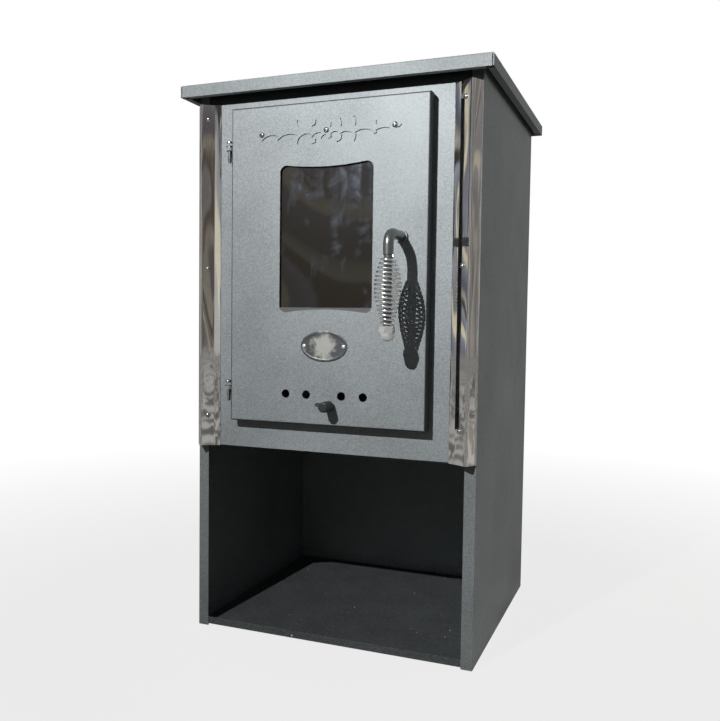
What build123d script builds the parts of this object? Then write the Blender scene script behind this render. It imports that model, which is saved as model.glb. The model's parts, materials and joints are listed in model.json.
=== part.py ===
from build123d import *
import os
from math import cos, dist, hypot, pi, sin

# Small free-standing steel wood stove with an open log store under the fire.
# Frame: millimetres, +Z up, origin on the floor under the middle of the casing,
# the door faces -Y and +X is to the right of someone who looks at the door.

# Casing
body_width = 400.0
body_depth = 352.0
casing_sheet = 1.5
front_flange = 15.0
rear_flange = 15.0
niche_height = 262.5
front_plate_sheet = 2.0
front_plate_fold = 20.0
shadow_gap = 9.2

# Lid
lid_flange = 16.3
lid_side_overhang = 16.7
lid_front_overhang = 22.0
lid_sheet = 1.5
lid_hem = 9.0
lid_bend = 2.4
lid_seam = 1.0

# Log store
tray_lift = 2.5
tray_lip = 10.0
niche_back_rise = 22.0
niche_back_gap = 5.0
niche_hole_radius = 2.0
niche_hole_x = -9.5
niche_hole_z = 128.0

# Bright corner trims: a folded strip with a crease, a ridge and a hem
trim_width = 34.7
trim_crease_inset = 26.5
trim_crease_height = 3.2
trim_ridge_inset = 9.7
trim_ridge_height = 13.6
trim_hem = 2.2
trim_sheet = 0.8
trim_drop = 1.0
trim_screw_end_inset = 20.0
trim_screw_bottom_inset = 42.0
trim_screw_along_facet = 0.4
trim_screw_radius = 1.9
trim_screw_length = 17.0
trim_screw_head_radius = 3.4
trim_screw_head_height = 2.2

# Door
door_side_margin = 61.0
door_height = 419.5
door_rise = 38.3
door_head = 11.2
door_depth = 17.0
door_sheet = 1.5
door_gap = 2.0
door_bend = 2.4
mouth_lap = 20.0
mouth_corner = 6.0

# Window
window_width = 131.0
window_rise = 146.3
window_head = 78.2
window_bow = 5.5
window_corner = 9.0
glass_thickness = 4.0
glass_margin = 14.0
gasket_thickness = 2.0
gasket_reveal = 3.0
gasket_lower_show = 8.0
clip_foot = 10.5
clip_width = 16.0
clip_sheet = 1.0
clip_bite = 8.0
clip_end_inset = 38.0
clip_screw_radius = 2.0
clip_screw_head_radius = 3.5
clip_screw_head_height = 2.2

# Inner door plate and rope seal
liner_sheet = 1.5
liner_window_clearance = 13.0
rope_width = 10.0
rope_inset = 4.5
seal_squeeze_gap = 0.3

# Cut ornament over the window
ornament_rise = 40.5
ornament_slot = 1.9
ornament_half_span = 93.0
ornament_plate_margin_x = 11.0
ornament_plate_height = 42.0
ornament_plate_sheet = 1.2
ornament_screw_radius = 2.0
ornament_screw_head_radius = 3.7
ornament_screw_head_height = 2.2
ornament_nut_flats = 7.0
ornament_nut_height = 3.0

# Oval plate under the window
badge_width = 66.0
badge_height = 40.5
badge_sheet = 1.0
badge_drop = 42.3
badge_rivet_half_span = 28.0
badge_border = 3.0
badge_groove = 0.3
rivet_radius = 1.6
rivet_head_radius = 2.6
rivet_head_height = 1.2

# Primary air holes and their slider
air_hole_radius = 5.75
air_hole_rise = 39.7
air_hole_inner = 25.0
air_hole_outer = 55.0
slot_drop = 13.0
slot_half_length = 12.3
slot_height = 5.2
slider_length = 160.0
slider_height = 38.0
slider_sheet = 1.0
slider_clearance = 0.3
guide_lap = 3.0
guide_foot = 5.0
guide_sheet = 1.0
guide_overrun = 4.0
knob_radius = 6.9
knob_length = 22.0
knob_reach = 24.0
knob_chamfer = 0.8

# Handle
handle_inset = 35.4
handle_reach = 48.0
rod_radius = 6.3
rod_bend = 15.0
stud_radius = 5.0
handle_shoulder_drop = 27.0
spring_length = 85.0
spring_turns = 16
spring_wire = 2.6
spring_end_diameter = 16.2
spring_middle_diameter = 33.2
spring_swell_power = 1.2
spring_skew = 0.868
spring_seat_gap = 0.8
nut_flats = 17.0
nut_height = 8.5
dome_height = 9.5
dome_wall = 2.6
bush_radius = 8.5
bush_length = 3.0
fit_clearance = 0.05
running_clearance = 0.3
spindle_radius = 4.0
cam_radius = 9.0
cam_thickness = 4.0
cam_setback = 3.0
cam_keeper_gap = 0.9
cam_nut_flats = 13.0
cam_nut_height = 6.5
cam_washer_radius = 8.0
cam_washer_thickness = 1.6
keeper_height = 34.0
keeper_length = 14.0
keeper_sheet = 3.0

# Hinges
hinge_offset = 7.7
hinge_pin_radius = 2.6
hinge_eye_radius = 5.0
frame_eye_thickness = 4.5
door_eye_thickness = 3.2
hinge_washer = 1.2
hinge_head_radius = 4.3
hinge_head_height = 3.6
hinge_leg = 16.0
upper_hinge_drop = 69.8
lower_hinge_rise = 25.2

# Firebox
firebox_side_room = 31.0
firebox_depth = 270.0
firebox_wall = 3.0
firebox_top_drop = 8.0
shelf_rise = 52.0
shelf_sheet = 3.0
shelf_front_inset = 12.0
ledge_height = 20.0
ledge_sheet = 3.0
brick_thickness = 25.0
brick_height = 190.0
brick_front_inset = 18.0
baffle_thickness = 20.0
baffle_length = 190.0
baffle_side_gap = 0.5
grate_width = 176.0
grate_length = 168.0
grate_rim = 10.0
grate_rim_thickness = 4.0
grate_web_depth = 6.0
grate_bar = 9.0
grate_gap = 8.0
grate_seat_gap = 1.0
guard_height = 48.0
guard_sheet = 3.0
guard_side_gap = 2.0
ash_pan_width = 196.0
ash_pan_length = 225.0
ash_pan_height = 44.0
ash_pan_sheet = 1.5
ash_pan_front_inset = 10.0
ash_pan_tab_width = 60.0
ash_pan_tab_height = 12.0
runner_height = 18.0
runner_foot = 14.0
runner_sheet = 2.0
runner_gap = 1.5

# Flue
flue_radius = 60.0
flue_wall = 2.0
flue_drop = 70.0
flue_projection = 75.0
flue_shoulder = 1.5
flue_stop = 3.0
flue_flange_radius = 68.0
flue_flange_thickness = 2.0
flue_panel_clearance = 2.5
stay_width = 30.0
stay_sheet = 2.0
stay_foot = 14.0
stay_rise = 60.0
rear_screw_radius = 1.9
rear_screw_head_radius = 3.6
rear_screw_head_height = 2.2
rear_screw_length = 6.5
rear_screw_end_inset = 40.0
rear_screw_count = 5

# Planes and levels that several pieces share
half_width = body_width / 2
front_y = -body_depth / 2
back_y = body_depth / 2
plate_back_y = front_y + front_plate_sheet
flange_back_y = plate_back_y + casing_sheet
rear_panel_y = back_y - 2 * casing_sheet
front_plate_height = door_rise + door_height + door_head
plate_top_z = niche_height + front_plate_height
lid_rim_z = plate_top_z + shadow_gap
lid_top_z = lid_rim_z + lid_flange
wall_top_z = lid_top_z - lid_sheet
inner_half = half_width - casing_sheet

door_width = body_width - 2 * door_side_margin
door_bottom_z = niche_height + door_rise
door_top_z = door_bottom_z + door_height
door_mid_z = (door_bottom_z + door_top_z) / 2
door_face_y = front_y - door_depth
skin_back_y = door_face_y + door_sheet
mouth_width = door_width - 2 * mouth_lap
mouth_height = door_height - 2 * mouth_lap
mouth_bottom_z = door_bottom_z + mouth_lap

window_bottom_z = door_bottom_z + window_rise
window_top_z = door_top_z - window_head
window_mid_z = (window_bottom_z + window_top_z) / 2
glass_front_y = skin_back_y + gasket_thickness
glass_back_y = glass_front_y + glass_thickness
glass_half_width = window_width / 2 + glass_margin
glass_bottom_z = window_bottom_z - glass_margin
glass_top_z = window_top_z + glass_margin
liner_y = glass_back_y
liner_back_y = liner_y + liner_sheet

firebox_width = mouth_width + 2 * firebox_side_room
firebox_floor_z = mouth_bottom_z
firebox_top_z = plate_top_z - firebox_top_drop
firebox_inner_half = firebox_width / 2 - firebox_wall
firebox_back_y = plate_back_y + firebox_depth
firebox_inner_back_y = firebox_back_y - firebox_wall
shelf_top_z = firebox_floor_z + shelf_rise + shelf_sheet
brick_top_z = shelf_top_z + brick_height


def facing(y):
    """Plane at depth y that looks out of the front: local x is +X, local y is +Z."""
    return Plane.XZ.offset(-y)


def slab(width, height, centre_z, y_front, thickness, centre_x=0.0):
    """Add an upright sheet to the open part by its front depth and thickness."""
    with Locations((centre_x, y_front + thickness / 2, centre_z)):
        Box(width, thickness, height)


# Side panels: one C-shaped sheet each, front and rear edges folded inwards
with BuildPart() as side_panel_left:
    with BuildSketch(Plane.XY):
        with BuildLine():
            Polyline(
                (-half_width + front_flange, plate_back_y),
                (-half_width, plate_back_y),
                (-half_width, back_y),
                (-half_width + rear_flange, back_y),
                (-half_width + rear_flange, back_y - casing_sheet),
                (-half_width + casing_sheet, back_y - casing_sheet),
                (-half_width + casing_sheet, flange_back_y),
                (-half_width + front_flange, flange_back_y),
                close=True,
            )
        make_face()
    extrude(amount=wall_top_z)

# Trim screws stand square to the sloping facet between crease and ridge
facet_run = trim_crease_inset - trim_ridge_inset
facet_rise = trim_ridge_height - trim_crease_height
facet_length = hypot(facet_run, facet_rise)
screw_inset = trim_crease_inset - facet_run * trim_screw_along_facet
screw_stand = trim_crease_height + facet_rise * trim_screw_along_facet
screw_out = (facet_rise / facet_length, facet_run / facet_length)
trim_bottom_z = niche_height - trim_drop
trim_screw_levels = [
    trim_bottom_z + trim_screw_bottom_inset,
    (trim_bottom_z + trim_screw_bottom_inset + plate_top_z - trim_screw_end_inset) / 2,
    plate_top_z - trim_screw_end_inset,
]
trim_screw_planes = [
    Plane(
        origin=(
            -half_width + screw_inset + trim_sheet * screw_out[0],
            front_y - screw_stand - trim_sheet * screw_out[1],
            level,
        ),
        x_dir=(0, 0, 1),
        z_dir=(screw_out[0], -screw_out[1], 0),
    )
    for level in trim_screw_levels
]

with BuildPart() as trim_screw_holes:
    for plane in trim_screw_planes:
        with BuildSketch(plane.offset(trim_screw_head_height)):
            Circle(trim_screw_radius + running_clearance)
        extrude(amount=-(trim_screw_length + 2 * trim_screw_head_height))

with BuildPart() as drilled_side_panel:
    add(side_panel_left.part)
    add(trim_screw_holes.part, mode=Mode.SUBTRACT)
side_panel_left = drilled_side_panel

with BuildPart() as side_panel_right:
    mirror(side_panel_left.part, about=Plane.YZ)

# Rear panel, in front of the side panels' rear folds
flue_z = firebox_top_z - flue_drop
rear_screw_levels = [
    rear_screw_end_inset
    + index * (wall_top_z - 2 * rear_screw_end_inset) / (rear_screw_count - 1)
    for index in range(rear_screw_count)
]
rear_screw_points = [
    (side * (half_width - rear_flange / 2 - casing_sheet / 2), level)
    for side in (-1, 1)
    for level in rear_screw_levels
]

with BuildPart() as rear_panel:
    slab(2 * inner_half, wall_top_z, wall_top_z / 2, rear_panel_y, casing_sheet)
    with BuildSketch(facing(back_y)):
        with Locations((0, flue_z)):
            Circle(flue_radius + flue_shoulder + flue_panel_clearance)
        with Locations(*rear_screw_points):
            Circle(rear_screw_radius)
    extrude(amount=2 * casing_sheet, mode=Mode.SUBTRACT)

with BuildPart() as rear_screws:
    for point in rear_screw_points:
        with BuildSketch(facing(back_y)):
            with Locations(point):
                Circle(rear_screw_head_radius)
        extrude(amount=-rear_screw_head_height)
        with BuildSketch(facing(back_y)):
            with Locations(point):
                Circle(rear_screw_radius)
        extrude(amount=rear_screw_length)
    fillet(
        rear_screws.edges()
        .filter_by(GeomType.CIRCLE)
        .group_by(Axis.Y)[-1],
        rear_screw_head_height * 0.6,
    )

with BuildPart() as rear_screw_holes:
    with BuildSketch(facing(back_y)):
        with Locations(*rear_screw_points):
            Circle(rear_screw_radius)
    extrude(amount=rear_screw_length)

with BuildPart() as finished_left_panel:
    add(side_panel_left.part)
    add(rear_screw_holes.part, mode=Mode.SUBTRACT)
side_panel_left = finished_left_panel

with BuildPart() as finished_right_panel:
    add(side_panel_right.part)
    add(rear_screw_holes.part, mode=Mode.SUBTRACT)
side_panel_right = finished_right_panel

# Log store: tray with its front lip, back sheet that stops short of the tray, ceiling
niche_ceiling_z = niche_height + front_plate_sheet
niche_back_y = rear_panel_y - niche_back_gap - casing_sheet

with BuildPart() as base_tray:
    with BuildSketch(Plane.XY.offset(tray_lift)):
        with BuildLine():
            Polyline(
                (-half_width + front_flange, plate_back_y),
                (half_width - front_flange, plate_back_y),
                (half_width - front_flange, flange_back_y),
                (inner_half, flange_back_y),
                (inner_half, rear_panel_y),
                (-inner_half, rear_panel_y),
                (-inner_half, flange_back_y),
                (-half_width + front_flange, flange_back_y),
                close=True,
            )
        make_face()
    extrude(amount=casing_sheet)
    lip_width = body_width - 2 * front_flange
    slab(lip_width, tray_lip, tray_lift + tray_lip / 2, plate_back_y, casing_sheet)

with BuildPart() as niche_back:
    back_sheet_height = niche_ceiling_z - niche_back_rise
    back_sheet_mid = niche_back_rise + back_sheet_height / 2
    slab(2 * inner_half, back_sheet_height, back_sheet_mid, niche_back_y, casing_sheet)
    with BuildSketch(facing(niche_back_y + casing_sheet)):
        with Locations((niche_hole_x, niche_hole_z)):
            Circle(niche_hole_radius)
    extrude(amount=casing_sheet, mode=Mode.SUBTRACT)

with BuildPart() as niche_ceiling:
    with BuildSketch(Plane.XY.offset(niche_ceiling_z)):
        with BuildLine():
            Polyline(
                (-inner_half, flange_back_y),
                (inner_half, flange_back_y),
                (inner_half, rear_panel_y),
                (-inner_half, rear_panel_y),
                close=True,
            )
        make_face()
    extrude(amount=casing_sheet)

# Front plate with the fire mouth and a fold that carries the ceiling sheet
with BuildPart() as front_plate:
    plate_mid_z = niche_height + front_plate_height / 2
    slab(body_width, front_plate_height, plate_mid_z, front_y, front_plate_sheet)
    with BuildSketch(Plane.XY.offset(niche_height)):
        with Locations((0, front_y + front_plate_fold / 2)):
            Rectangle(2 * (half_width - front_flange - running_clearance), front_plate_fold)
    extrude(amount=front_plate_sheet)
    with BuildSketch(facing(plate_back_y)):
        with Locations((0, door_mid_z)):
            RectangleRounded(mouth_width, mouth_height, mouth_corner)
    extrude(amount=front_plate_sheet, mode=Mode.SUBTRACT)
    add(trim_screw_holes.part, mode=Mode.SUBTRACT)
    mirror(trim_screw_holes.part, about=Plane.YZ, mode=Mode.SUBTRACT)

with BuildPart() as top_rail:
    rail_height = wall_top_z - firebox_top_z
    rail_mid_z = wall_top_z - rail_height / 2
    slab(2 * inner_half, rail_height, rail_mid_z, flange_back_y, casing_sheet)

# Lid: a shallow folded pan turned upside down, hemmed on three sides
lid_half = half_width + lid_side_overhang
lid_front_y = front_y - lid_front_overhang
lid_back_y = back_y + lid_sheet
lid_mid_y = (lid_front_y + lid_back_y) / 2
lid_length = lid_back_y - lid_front_y

with BuildPart() as lid:
    with BuildSketch(Plane.XY.offset(lid_rim_z)):
        with Locations((0, lid_mid_y)):
            Rectangle(2 * lid_half, lid_length)
    extrude(amount=lid_flange)
    fillet(lid.faces().sort_by(Axis.Z)[-1].edges(), lid_bend)
    with BuildSketch(Plane.XY.offset(lid_rim_z)):
        with Locations((0, lid_mid_y)):
            Rectangle(2 * (lid_half - lid_sheet), lid_length - 2 * lid_sheet)
    extrude(amount=lid_flange - lid_sheet, mode=Mode.SUBTRACT)
    for side in (-1, 1):
        with BuildSketch(Plane.XY.offset(lid_rim_z)):
            with Locations((side * (lid_half - lid_hem / 2 - lid_sheet / 2), lid_mid_y)):
                Rectangle(lid_hem - lid_sheet, lid_length - 2 * lid_hem)
        extrude(amount=lid_sheet)
    with BuildSketch(Plane.XY.offset(lid_rim_z)):
        with Locations((0, lid_front_y + lid_hem / 2 + lid_sheet / 2)):
            Rectangle(2 * (lid_half - lid_hem - lid_seam), lid_hem - lid_sheet)
    extrude(amount=lid_sheet)
    for side in (-1, 1):
        with BuildSketch(Plane.XY.offset(lid_rim_z)):
            with Locations((side * (lid_half - lid_sheet - lid_seam / 2), lid_front_y)):
                Rectangle(lid_seam, 2 * lid_sheet + lid_seam)
        extrude(amount=lid_flange - lid_bend, mode=Mode.SUBTRACT)

# Corner trims
with BuildPart() as corner_trim_left:
    with BuildSketch(Plane.XY.offset(trim_bottom_z)):
        with BuildLine() as trim_outline:
            Polyline(
                (-half_width + trim_width, front_y),
                (-half_width + trim_crease_inset, front_y - trim_crease_height),
                (-half_width + trim_ridge_inset, front_y - trim_ridge_height),
                (-half_width + trim_hem, front_y),
                (-half_width, front_y),
            )
            offset(trim_outline.line, amount=trim_sheet, side=Side.LEFT, kind=Kind.INTERSECTION)
        make_face()
    extrude(amount=plate_top_z - trim_bottom_z)
    add(trim_screw_holes.part, mode=Mode.SUBTRACT)

with BuildPart() as corner_trim_right:
    mirror(corner_trim_left.part, about=Plane.YZ)

with BuildPart() as left_trim_screws:
    for plane in trim_screw_planes:
        with BuildSketch(plane):
            Circle(trim_screw_head_radius)
        extrude(amount=trim_screw_head_height)
        with BuildSketch(plane):
            Circle(trim_screw_radius)
        extrude(amount=-trim_screw_length)

with BuildPart() as trim_screws:
    add(left_trim_screws.part)
    mirror(left_trim_screws.part, about=Plane.YZ)
    rounded = [
        edge
        for edge in trim_screws.edges().filter_by(GeomType.CIRCLE)
        if edge.radius > trim_screw_radius + fit_clearance
    ]
    outer = ShapeList(rounded).sort_by(Axis.Y)
    fillet(outer[: len(outer) // 2], trim_screw_head_height * 0.6)

# Firebox shell, open at the front where it is welded round the mouth
shell_bottom_z = firebox_floor_z - firebox_wall

with BuildPart() as firebox_shell:
    shell_height = firebox_top_z - shell_bottom_z
    shell_mid_z = shell_bottom_z + shell_height / 2
    slab(firebox_width, shell_height, shell_mid_z, plate_back_y, firebox_depth)
    with BuildSketch(facing(firebox_inner_back_y)):
        with Locations((0, shell_mid_z)):
            Rectangle(2 * firebox_inner_half, shell_height - 2 * firebox_wall)
    extrude(amount=firebox_depth - firebox_wall, mode=Mode.SUBTRACT)
    with BuildSketch(facing(firebox_back_y)):
        with Locations((0, flue_z)):
            Circle(flue_radius - flue_wall)
    extrude(amount=firebox_wall, mode=Mode.SUBTRACT)

with BuildPart() as flue_collar:
    duct_length = back_y + flue_stop - firebox_back_y
    with BuildSketch(facing(firebox_back_y)):
        with Locations((0, flue_z)):
            Circle(flue_flange_radius)
            Circle(flue_radius - flue_wall, mode=Mode.SUBTRACT)
    extrude(amount=-flue_flange_thickness)
    with BuildSketch(facing(firebox_back_y)):
        with Locations((0, flue_z)):
            Circle(flue_radius + flue_shoulder)
            Circle(flue_radius - flue_wall, mode=Mode.SUBTRACT)
    extrude(amount=-duct_length)
    with BuildSketch(facing(back_y + flue_stop)):
        with Locations((0, flue_z)):
            Circle(flue_radius)
            Circle(flue_radius - flue_wall, mode=Mode.SUBTRACT)
    extrude(amount=-(flue_projection - flue_stop))

# Stays tie the back of the firebox to the rear panel
with BuildPart() as firebox_stays:
    stay_gap = rear_panel_y - firebox_back_y
    for side in (-1, 1):
        for level in (shell_bottom_z + stay_rise, flue_z):
            centre_x = side * (firebox_width / 2 - stay_width / 2)
            with BuildSketch(Plane.YZ.offset(centre_x - stay_width / 2)):
                with BuildLine():
                    Polyline(
                        (firebox_back_y, level - stay_foot),
                        (firebox_back_y, level),
                        (rear_panel_y - stay_sheet, level),
                        (rear_panel_y - stay_sheet, level + stay_foot),
                        (rear_panel_y, level + stay_foot),
                        (rear_panel_y, level - stay_sheet),
                        (firebox_back_y + stay_sheet, level - stay_sheet),
                        (firebox_back_y + stay_sheet, level - stay_foot),
                        close=True,
                    )
                make_face()
            extrude(amount=stay_width)

# Grate shelf on two ledges, with the grate, bricks, guard and baffle that it carries
with BuildPart() as shelf_ledges:
    ledge_length = firebox_inner_back_y - plate_back_y - shelf_front_inset
    ledge_mid_y = plate_back_y + shelf_front_inset + ledge_length / 2
    ledge_z = firebox_floor_z + shelf_rise
    for side in (-1, 1):
        with BuildSketch(Plane.XY.offset(ledge_z - ledge_sheet)):
            with Locations((side * (firebox_inner_half - ledge_height / 2), ledge_mid_y)):
                Rectangle(ledge_height, ledge_length)
        extrude(amount=ledge_sheet)
        with BuildSketch(Plane.XY.offset(ledge_z - ledge_height)):
            with Locations((side * (firebox_inner_half - ledge_sheet / 2), ledge_mid_y)):
                Rectangle(ledge_sheet, ledge_length)
        extrude(amount=ledge_height)

bed_front_y = plate_back_y + brick_front_inset
bed_half_width = firebox_inner_half - brick_thickness
bed_back_y = firebox_inner_back_y - brick_thickness
grate_mid_y = (bed_front_y + bed_back_y) / 2

with BuildPart() as grate_shelf:
    shelf_length = firebox_inner_back_y - plate_back_y - shelf_front_inset
    with BuildSketch(Plane.XY.offset(shelf_top_z - shelf_sheet)):
        with Locations((0, firebox_inner_back_y - shelf_length / 2)):
            Rectangle(2 * firebox_inner_half, shelf_length)
        with Locations((0, grate_mid_y)):
            Rectangle(
                grate_width + 2 * grate_seat_gap,
                grate_length + 2 * grate_seat_gap,
                mode=Mode.SUBTRACT,
            )
    extrude(amount=shelf_sheet)

with BuildPart() as grate:
    with BuildSketch(Plane.XY.offset(shelf_top_z)):
        with Locations((0, grate_mid_y)):
            RectangleRounded(grate_width + 2 * grate_rim, grate_length + 2 * grate_rim, grate_rim)
    extrude(amount=grate_rim_thickness)
    with BuildSketch(Plane.XY.offset(shelf_top_z)):
        with Locations((0, grate_mid_y)):
            Rectangle(grate_width, grate_length)
    extrude(amount=-grate_web_depth)
    grate_pitch = grate_bar + grate_gap
    slot_count = int((grate_width - grate_bar) // grate_pitch)
    with BuildSketch(Plane.XY.offset(shelf_top_z - grate_web_depth)):
        with Locations((0, grate_mid_y)):
            with GridLocations(grate_pitch, grate_length / 2, slot_count, 2):
                SlotOverall(grate_length / 2 - grate_bar, grate_gap, rotation=90)
    extrude(amount=grate_web_depth + grate_rim_thickness, mode=Mode.SUBTRACT)

with BuildPart() as side_brick_left:
    brick_length = firebox_inner_back_y - bed_front_y
    with BuildSketch(Plane.XY.offset(shelf_top_z)):
        with Locations((-firebox_inner_half + brick_thickness / 2, bed_front_y + brick_length / 2)):
            Rectangle(brick_thickness, brick_length)
    extrude(amount=brick_height)
    chamfer(side_brick_left.edges().filter_by(Axis.Z), brick_thickness * 0.08)

with BuildPart() as side_brick_right:
    mirror(side_brick_left.part, about=Plane.YZ)

with BuildPart() as rear_brick:
    with BuildSketch(Plane.XY.offset(shelf_top_z)):
        with Locations((0, firebox_inner_back_y - brick_thickness / 2)):
            Rectangle(2 * bed_half_width, brick_thickness)
    extrude(amount=brick_height)

with BuildPart() as baffle_plate:
    with BuildSketch(Plane.XY.offset(brick_top_z)):
        with Locations((0, firebox_inner_back_y - baffle_length / 2)):
            Rectangle(2 * (firebox_inner_half - baffle_side_gap), baffle_length)
    extrude(amount=baffle_thickness)

with BuildPart() as ember_guard:
    guard_width = 2 * (bed_half_width - guard_side_gap)
    guard_mid_z = shelf_top_z + guard_height / 2
    slab(guard_width, guard_height, guard_mid_z, bed_front_y, guard_sheet)
    with BuildSketch(facing(bed_front_y + guard_sheet)):
        with Locations((0, shelf_top_z + guard_height * 0.55)):
            with GridLocations(4 * grate_gap, 1, 5, 1):
                SlotOverall(guard_height / 2, grate_gap, rotation=90)
    extrude(amount=guard_sheet, mode=Mode.SUBTRACT)

# Ash pan on the firebox floor between its two guide angles
pan_front_y = plate_back_y + ash_pan_front_inset
pan_mid_y = pan_front_y + ash_pan_length / 2

with BuildPart() as ash_pan:
    with BuildSketch(Plane.XY.offset(firebox_floor_z)):
        with Locations((0, pan_mid_y)):
            Rectangle(ash_pan_width, ash_pan_length)
    extrude(amount=ash_pan_height)
    with BuildSketch(Plane.XY.offset(firebox_floor_z + ash_pan_sheet)):
        with Locations((0, pan_mid_y)):
            Rectangle(ash_pan_width - 2 * ash_pan_sheet, ash_pan_length - 2 * ash_pan_sheet)
    extrude(amount=ash_pan_height, mode=Mode.SUBTRACT)
    with BuildSketch(Plane.XY.offset(firebox_floor_z + ash_pan_height / 2)):
        with Locations((0, pan_front_y - ash_pan_tab_height / 2)):
            Rectangle(ash_pan_tab_width, ash_pan_tab_height)
    extrude(amount=ash_pan_sheet)
    fillet(ash_pan.edges().filter_by(Axis.Z).group_by(Axis.Y)[0], ash_pan_tab_height / 3)

with BuildPart() as ash_pan_guides:
    for side in (-1, 1):
        inner_x = side * (ash_pan_width / 2 + runner_gap)
        with BuildSketch(Plane.XY.offset(firebox_floor_z)):
            with Locations((inner_x + side * runner_foot / 2, pan_mid_y)):
                Rectangle(runner_foot, ash_pan_length)
        extrude(amount=runner_sheet)
        with BuildSketch(Plane.XY.offset(firebox_floor_z)):
            with Locations((inner_x + side * runner_sheet / 2, pan_mid_y)):
                Rectangle(runner_sheet, ash_pan_length)
        extrude(amount=runner_height)

# Places on the door
handle_x = door_width / 2 - handle_inset
handle_z = window_mid_z
ornament_z = window_top_z + ornament_rise
badge_z = window_bottom_z - badge_drop
air_z = door_bottom_z + air_hole_rise
slot_z = air_z - slot_drop
air_hole_points = [
    (side * reach, air_z) for side in (-1, 1) for reach in (air_hole_inner, air_hole_outer)
]
ornament_screw_points = [(x, ornament_z) for x in (-ornament_half_span, 0, ornament_half_span)]
rivet_points = [(side * badge_rivet_half_span, badge_z) for side in (-1, 1)]
clip_points = [
    (side, level)
    for side in (-1, 1)
    for level in (glass_bottom_z + clip_end_inset, glass_top_z - clip_end_inset)
]
clip_screw_x = glass_half_width + slider_clearance + clip_sheet + clip_foot / 2

# Strokes of the leafy scroll, each start, middle and end measured from its centre line
scroll_crests = [
    ((-92.5, -8.0), (-81.0, -2.3), (-69.8, -4.0)),
    ((-68.6, -8.3), (-56.0, -2.5), (-43.2, -4.3)),
    ((-40.4, -15.4), (-36.4, -6.4), (-23.4, -4.8)),
    ((-19.6, -7.8), (-14.8, -3.9), (-8.8, -3.2)),
    ((6.6, -6.2), (10.6, -3.3), (16.4, -4.9)),
    ((20.8, -6.0), (27.6, -4.2), (35.6, -7.0)),
    ((40.6, -6.4), (51.0, -3.1), (63.6, -6.6)),
    ((68.4, -5.6), (76.0, -3.3), (85.2, -4.3)),
]
scroll_tails = [
    ((-14.6, -11.2), (-15.0, -14.8), (-19.4, -15.9)),
    ((-6.6, -10.2), (-4.6, -7.6), (-1.4, -6.1)),
    ((7.4, -8.4), (6.4, -9.9), (4.0, -10.6)),
    ((21.9, -8.6), (20.6, -13.4), (15.8, -15.9)),
    ((41.2, -9.0), (41.0, -12.8), (39.0, -16.4)),
    ((69.0, -8.0), (68.2, -9.0), (66.4, -9.4)),
    ((95.4, -3.9), (99.4, -3.0), (101.4, -0.6)),
]
scroll_buds = [
    ((-40.8, 14.4), (-40.2, 9.8), (-37.8, 6.2)),
    ((-14.8, 13.2), (-15.2, 8.9), (-19.8, 6.2)),
    ((6.6, 8.0), (7.0, 5.8), (6.2, 3.8)),
    ((19.8, 12.8), (21.6, 8.6), (21.0, 3.8)),
    ((38.6, 14.2), (41.4, 9.0), (40.4, 3.6)),
    ((68.4, 6.0), (68.9, 4.4), (68.4, 2.8)),
]


with BuildSketch() as scroll:
    for start, middle, end in scroll_crests + scroll_tails + scroll_buds:
        stroke = ThreePointArc(start, middle, end, mode=Mode.PRIVATE)
        SlotArc(stroke.edge(), ornament_slot)

# Door skin: a folded steel pan with the window, ornament, air holes and slider slot
with BuildPart() as door_skin:
    pan_depth = door_depth - door_gap
    slab(door_width, door_height, door_mid_z, door_face_y, pan_depth)
    fillet(door_skin.faces().sort_by(Axis.Y)[0].edges(), door_bend)
    with BuildPart(mode=Mode.PRIVATE) as skin_hollow:
        slab(
            door_width - 2 * door_sheet,
            door_height - 2 * door_sheet,
            door_mid_z,
            skin_back_y,
            pan_depth - door_sheet,
        )
        fillet(skin_hollow.faces().sort_by(Axis.Y)[0].edges(), door_bend - door_sheet)
    add(skin_hollow.part, mode=Mode.SUBTRACT)
    with BuildSketch(facing(skin_back_y)):
        with BuildLine():
            reach = window_width / 2
            Line((-reach, window_top_z), (-reach, window_bottom_z))
            ThreePointArc(
                (-reach, window_bottom_z),
                (0, window_bottom_z + window_bow),
                (reach, window_bottom_z),
            )
            Line((reach, window_bottom_z), (reach, window_top_z))
            ThreePointArc(
                (reach, window_top_z),
                (0, window_top_z - window_bow),
                (-reach, window_top_z),
            )
        make_face()
        fillet(vertices(), window_corner)
    extrude(amount=door_sheet, mode=Mode.SUBTRACT)
    with BuildSketch(facing(skin_back_y)):
        with Locations(*air_hole_points):
            Circle(air_hole_radius)
        with Locations((0, slot_z)):
            SlotOverall(2 * slot_half_length, slot_height)
        with Locations((handle_x, handle_z)):
            Circle(rod_radius + running_clearance)
        with Locations(*ornament_screw_points):
            Circle(ornament_screw_radius)
        with Locations(*rivet_points):
            Circle(rivet_radius)
        with Locations((0, ornament_z)):
            add(scroll.sketch)
    extrude(amount=door_sheet, mode=Mode.SUBTRACT)

with BuildPart() as ornament_plate:
    plate_width = 2 * (ornament_half_span + ornament_plate_margin_x)
    slab(plate_width, ornament_plate_height, ornament_z, skin_back_y, ornament_plate_sheet)
    with BuildSketch(facing(skin_back_y + ornament_plate_sheet)):
        with Locations(*ornament_screw_points):
            Circle(ornament_screw_radius)
    extrude(amount=ornament_plate_sheet, mode=Mode.SUBTRACT)

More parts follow.
